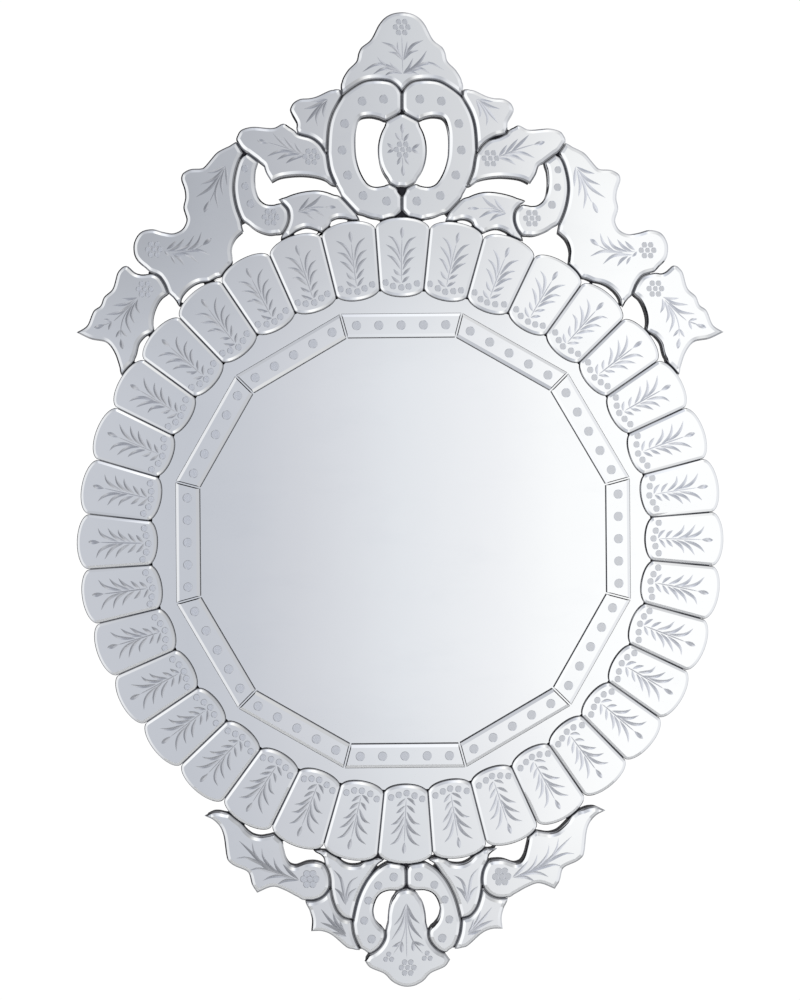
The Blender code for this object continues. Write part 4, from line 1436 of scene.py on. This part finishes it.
def backing_board():
    """The board with its edges eased and a round recess for the pane."""
    data = bpy.data.curves.new("painted_board", "CURVE")
    data.dimensions = "2D"
    data.fill_mode = "BOTH"
    data.extrude = ((BOARD_BACK - BOARD_FRONT) / 2 - BOARD_EASING) * MM
    data.bevel_depth = BOARD_EASING * MM
    data.bevel_resolution = 1
    data.offset = -BOARD_EASING * MM
    for loop in board_outlines():
        polyline(data, loop).use_cyclic_u = True
    board = body_of_curve(data, (BOARD_BACK + BOARD_FRONT) / 2)
    depth = PANE_BACK + RECESS_PLAY - BOARD_FRONT
    carved(board, solid(
        "recess", bpy.ops.mesh.primitive_cylinder_add, vertices=ROUND_SEGMENTS,
        radius=(PANE_RADIUS + RECESS_CLEARANCE) * MM, depth=2 * depth * MM,
        location=placed(0, BOARD_FRONT, 0), rotation=FACING_FRONT))
    board.data.materials.append(BOARD)
    shade(board)
    hand_over(board, "black_painted_board", "backing_board")


def planed_bar(name, node, under_cut, screws):
    """A pine bar with eased edges and a round hole for each screw's head."""
    low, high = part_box(node)
    bar = solid(name, bpy.ops.mesh.primitive_cube_add, size=1, location=(low + high) / 2,
                scale=high - low)
    if under_cut:
        bpy.ops.object.mode_set(mode="EDIT")
        bpy.ops.mesh.select_all(action="SELECT")
        bpy.ops.mesh.bisect(plane_co=(0, high.y, low.z), plane_no=(0, -1, -1), use_fill=True,
                            clear_outer=True)
        bpy.ops.object.mode_set(mode="OBJECT")
    modified(bar, "BEVEL", width=WOOD_EASING * MM, segments=2, limit_method="ANGLE")
    for screw in screws:
        head_low, head_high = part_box(screw)
        radius = (head_high.x - head_low.x) / 2
        carved(bar, solid(
            "screw_hole", bpy.ops.mesh.primitive_cylinder_add, vertices=SCREW_SEGMENTS,
            radius=radius + RECESS_PLAY * MM, depth=-2 * head_low.y + 2 * RECESS_PLAY * MM,
            location=((head_low.x + head_high.x) / 2, 0, (head_low.z + head_high.z) / 2),
            rotation=FACING_FRONT))
    bar.data.materials.append(PINE)
    shade(bar)
    hand_over(bar, "raw_pine", node)


def screw_head(name, node):
    """A countersunk head with a cross recess."""
    low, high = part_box(node)
    radius = (high.x - low.x) / 2
    centre = (low + high) / 2
    head = solid(
        name, bpy.ops.mesh.primitive_cone_add, vertices=SCREW_SEGMENTS,
        radius1=radius * SCREW_TAPER, radius2=radius, depth=high.y - low.y, location=centre,
        rotation=(-math.pi / 2, 0, 0))
    modified(head, "BEVEL", width=SCREW_EASING * MM, segments=2, limit_method="ANGLE")
    cross = [
        solid("cross", bpy.ops.mesh.primitive_cube_add, size=1, rotation=(0, turn, 0),
              location=(centre.x, high.y, centre.z),
              scale=(radius * CROSS_SPAN, CROSS_DEPTH * MM, CROSS_WIDTH * MM))
        for turn in (CROSS_TURN, CROSS_TURN + math.pi / 2)]
    carved(head, merged(cross))
    head.data.materials.append(ZINC)
    shade(head)
    hand_over(head, "zinc_plated_steel", node)


def back():
    cleat_screws = ("cleat_screw_left", "cleat_screw_right")
    spacer_screws = ("spacer_screw_left", "spacer_screw_right")
    planed_bar("pine_cleat", "hanging_cleat", True, cleat_screws)
    planed_bar("pine_spacer", "wall_spacer", False, spacer_screws)
    for node in cleat_screws + spacer_screws:
        screw_head(f"{node}_head", node)


# Studio


def pale_floor():
    """A pale round floor a little below the hung mirror, wider than the mirror."""
    floor = solid(
        "studio_floor", bpy.ops.mesh.primitive_cylinder_add, vertices=FLOOR_SEGMENTS,
        radius=FLOOR_RADIUS, depth=FLOOR_THICKNESS,
        location=(0, 0, CAD_BOX[0].z - FLOOR_BELOW - FLOOR_THICKNESS / 2))
    modified(floor, "BEVEL", width=FLOOR_EASING, segments=3, limit_method="ANGLE")
    bpy.ops.object.shade_smooth_by_angle(angle=math.radians(30))
    finish = new_finish("pale_floor")
    patch = finish.noise(5.0, detail=4)
    floor.data.materials.append(finish.surface(
        Base_Color=finish.blend(patch, rgb(0.76, 0.76, 0.755), rgb(0.8, 0.8, 0.795)),
        Roughness=0.6 + patch * 0.15))


def studio_light():
    """A soft room, darker to the left of the mirror and bright to the right of it."""
    world = bpy.data.worlds.new("studio")
    bpy.context.scene.world = world
    room = Finish(world)
    there = room.node("TexCoord", output="Generated")
    x, y, z = (room.part(there, index) for index in range(3))
    across = room.math_of("ARCTAN2", x, y * -1) * (180 / math.pi)
    up = room.math_of("ARCSINE", z) * (180 / math.pi)
    away = room.math_of("ARCCOSINE", y * -1) * (180 / math.pi)
    aside = room.math_of("MAXIMUM", (x * x + z * z) ** 0.5, 0.001)
    left = x * -1 / aside
    high = z / aside
    level = room.node(
        "ValToRGB", {"stops": FACE_STOPS}, {"Fac": across / (2 * FACE_SPAN) + 0.5})
    dimmed = (up * -1).rise(5, 17, 0, 0.13) * across.rise(-8, 0, 0.2, 1) + (
        up.rise(4, 12, 0, 0.19) * across.rise(-11, -7, 1.8, 1))
    lit_above = high.rise(0.5, 0.9) * across.rise(-6, 18, 0.47, 0)
    lit_below = (high * -1).rise(0.5, 0.9, 0, 0.12)
    lit = away.rise(20, 30) * (lit_above + lit_below)
    level = room.scaled(level, 1 - dimmed * across.rise(2, 9, 1, 0.1) + lit)
    on_left = left.rise(0.1, 0.9)
    on_right = (left * -1).rise(0.1, 0.9)
    sides = away.rise(*BEVELS_FROM) * (on_left + on_right)
    right = away.rise(38, 45, 0.37, 0.56) + away.rise(46, 61, 0, 0.27)
    side = on_left * away.rise(49, 62, 1.0, 0.8) + on_right * right
    side = room.node("CombineXYZ", None, {
        0: side, 1: side * (1.03 - side * 0.025), 2: side * (1.12 - side * 0.1)})
    light = room.blend(sides, level, side)
    turn = room.math_of("ARCTAN2", z, x * -1) / (2 * math.pi) + 0.5
    rim = room.node("ValToRGB", {"stops": ARRIS_STOPS}, {"Fac": turn})
    lighter = 1 + away.rise(80, 92, 0, 0.7) * on_right
    rim = room.scaled(rim, lighter)
    lifted = x.rise(-0.02, 0.17, 0, 0.5) * (high * high).rise(0.6, 0.9)
    rim = room.node("VectorMath", {"operation": "ADD"}, {
        0: rim, 1: room.node("CombineXYZ", None, {0: lifted, 1: lifted, 2: lifted})})
    light = room.blend(away.rise(*ARRISES_FROM), light, rim)
    light = room.blend(away.rise(*BEHIND_FROM), light, rgb(0.9, 0.9, 0.9))
    seen = room.node("LightPath", output="Is Camera Ray")
    colour = room.blend(seen, light, rgb(1, 1, 1))
    background = room.node("Background", None, {"Color": colour, "Strength": 1.03})
    room.node("OutputWorld", None, {"Surface": background})


def soft_lamp(name, location, aim, size, power):
    """A soft light that the mirror doesn't show."""
    data = bpy.data.lights.new(name, "AREA")
    data.size = size
    data.energy = power
    lamp = in_scene(name, data)
    lamp.location = location
    lamp.rotation_euler = (Vector(aim) - Vector(location)).to_track_quat("-Z", "Y").to_euler()
    lamp.visible_glossy = False
    lamp.visible_camera = False


def front_camera():
    """The photo's view, level and a little above the ring's centre."""
    data = bpy.data.cameras.new("front_camera")
    data.lens = CAMERA_LENS
    data.sensor_width = CAMERA_SENSOR
    eye = in_scene("front_camera", data)
    eye.location = placed(CAMERA_X, PIECE_FRONT - CAMERA_DISTANCE, CAMERA_ABOVE)
    eye.rotation_euler = FACING_FRONT
    bpy.context.scene.camera = eye
    bpy.context.scene.view_settings.view_transform = "Standard"


front_camera()
studio_light()
soft_lamp("rear_lamp", location=(-1.2, 1.6, 0.9), aim=(0, 0, -0.1), size=1.0, power=14)
pale_floor()
LAID = laid_outlines()
plain_pane()
rim_of_strips()
ring_of_tiles()
crown()
foot()
backing_board()
back()
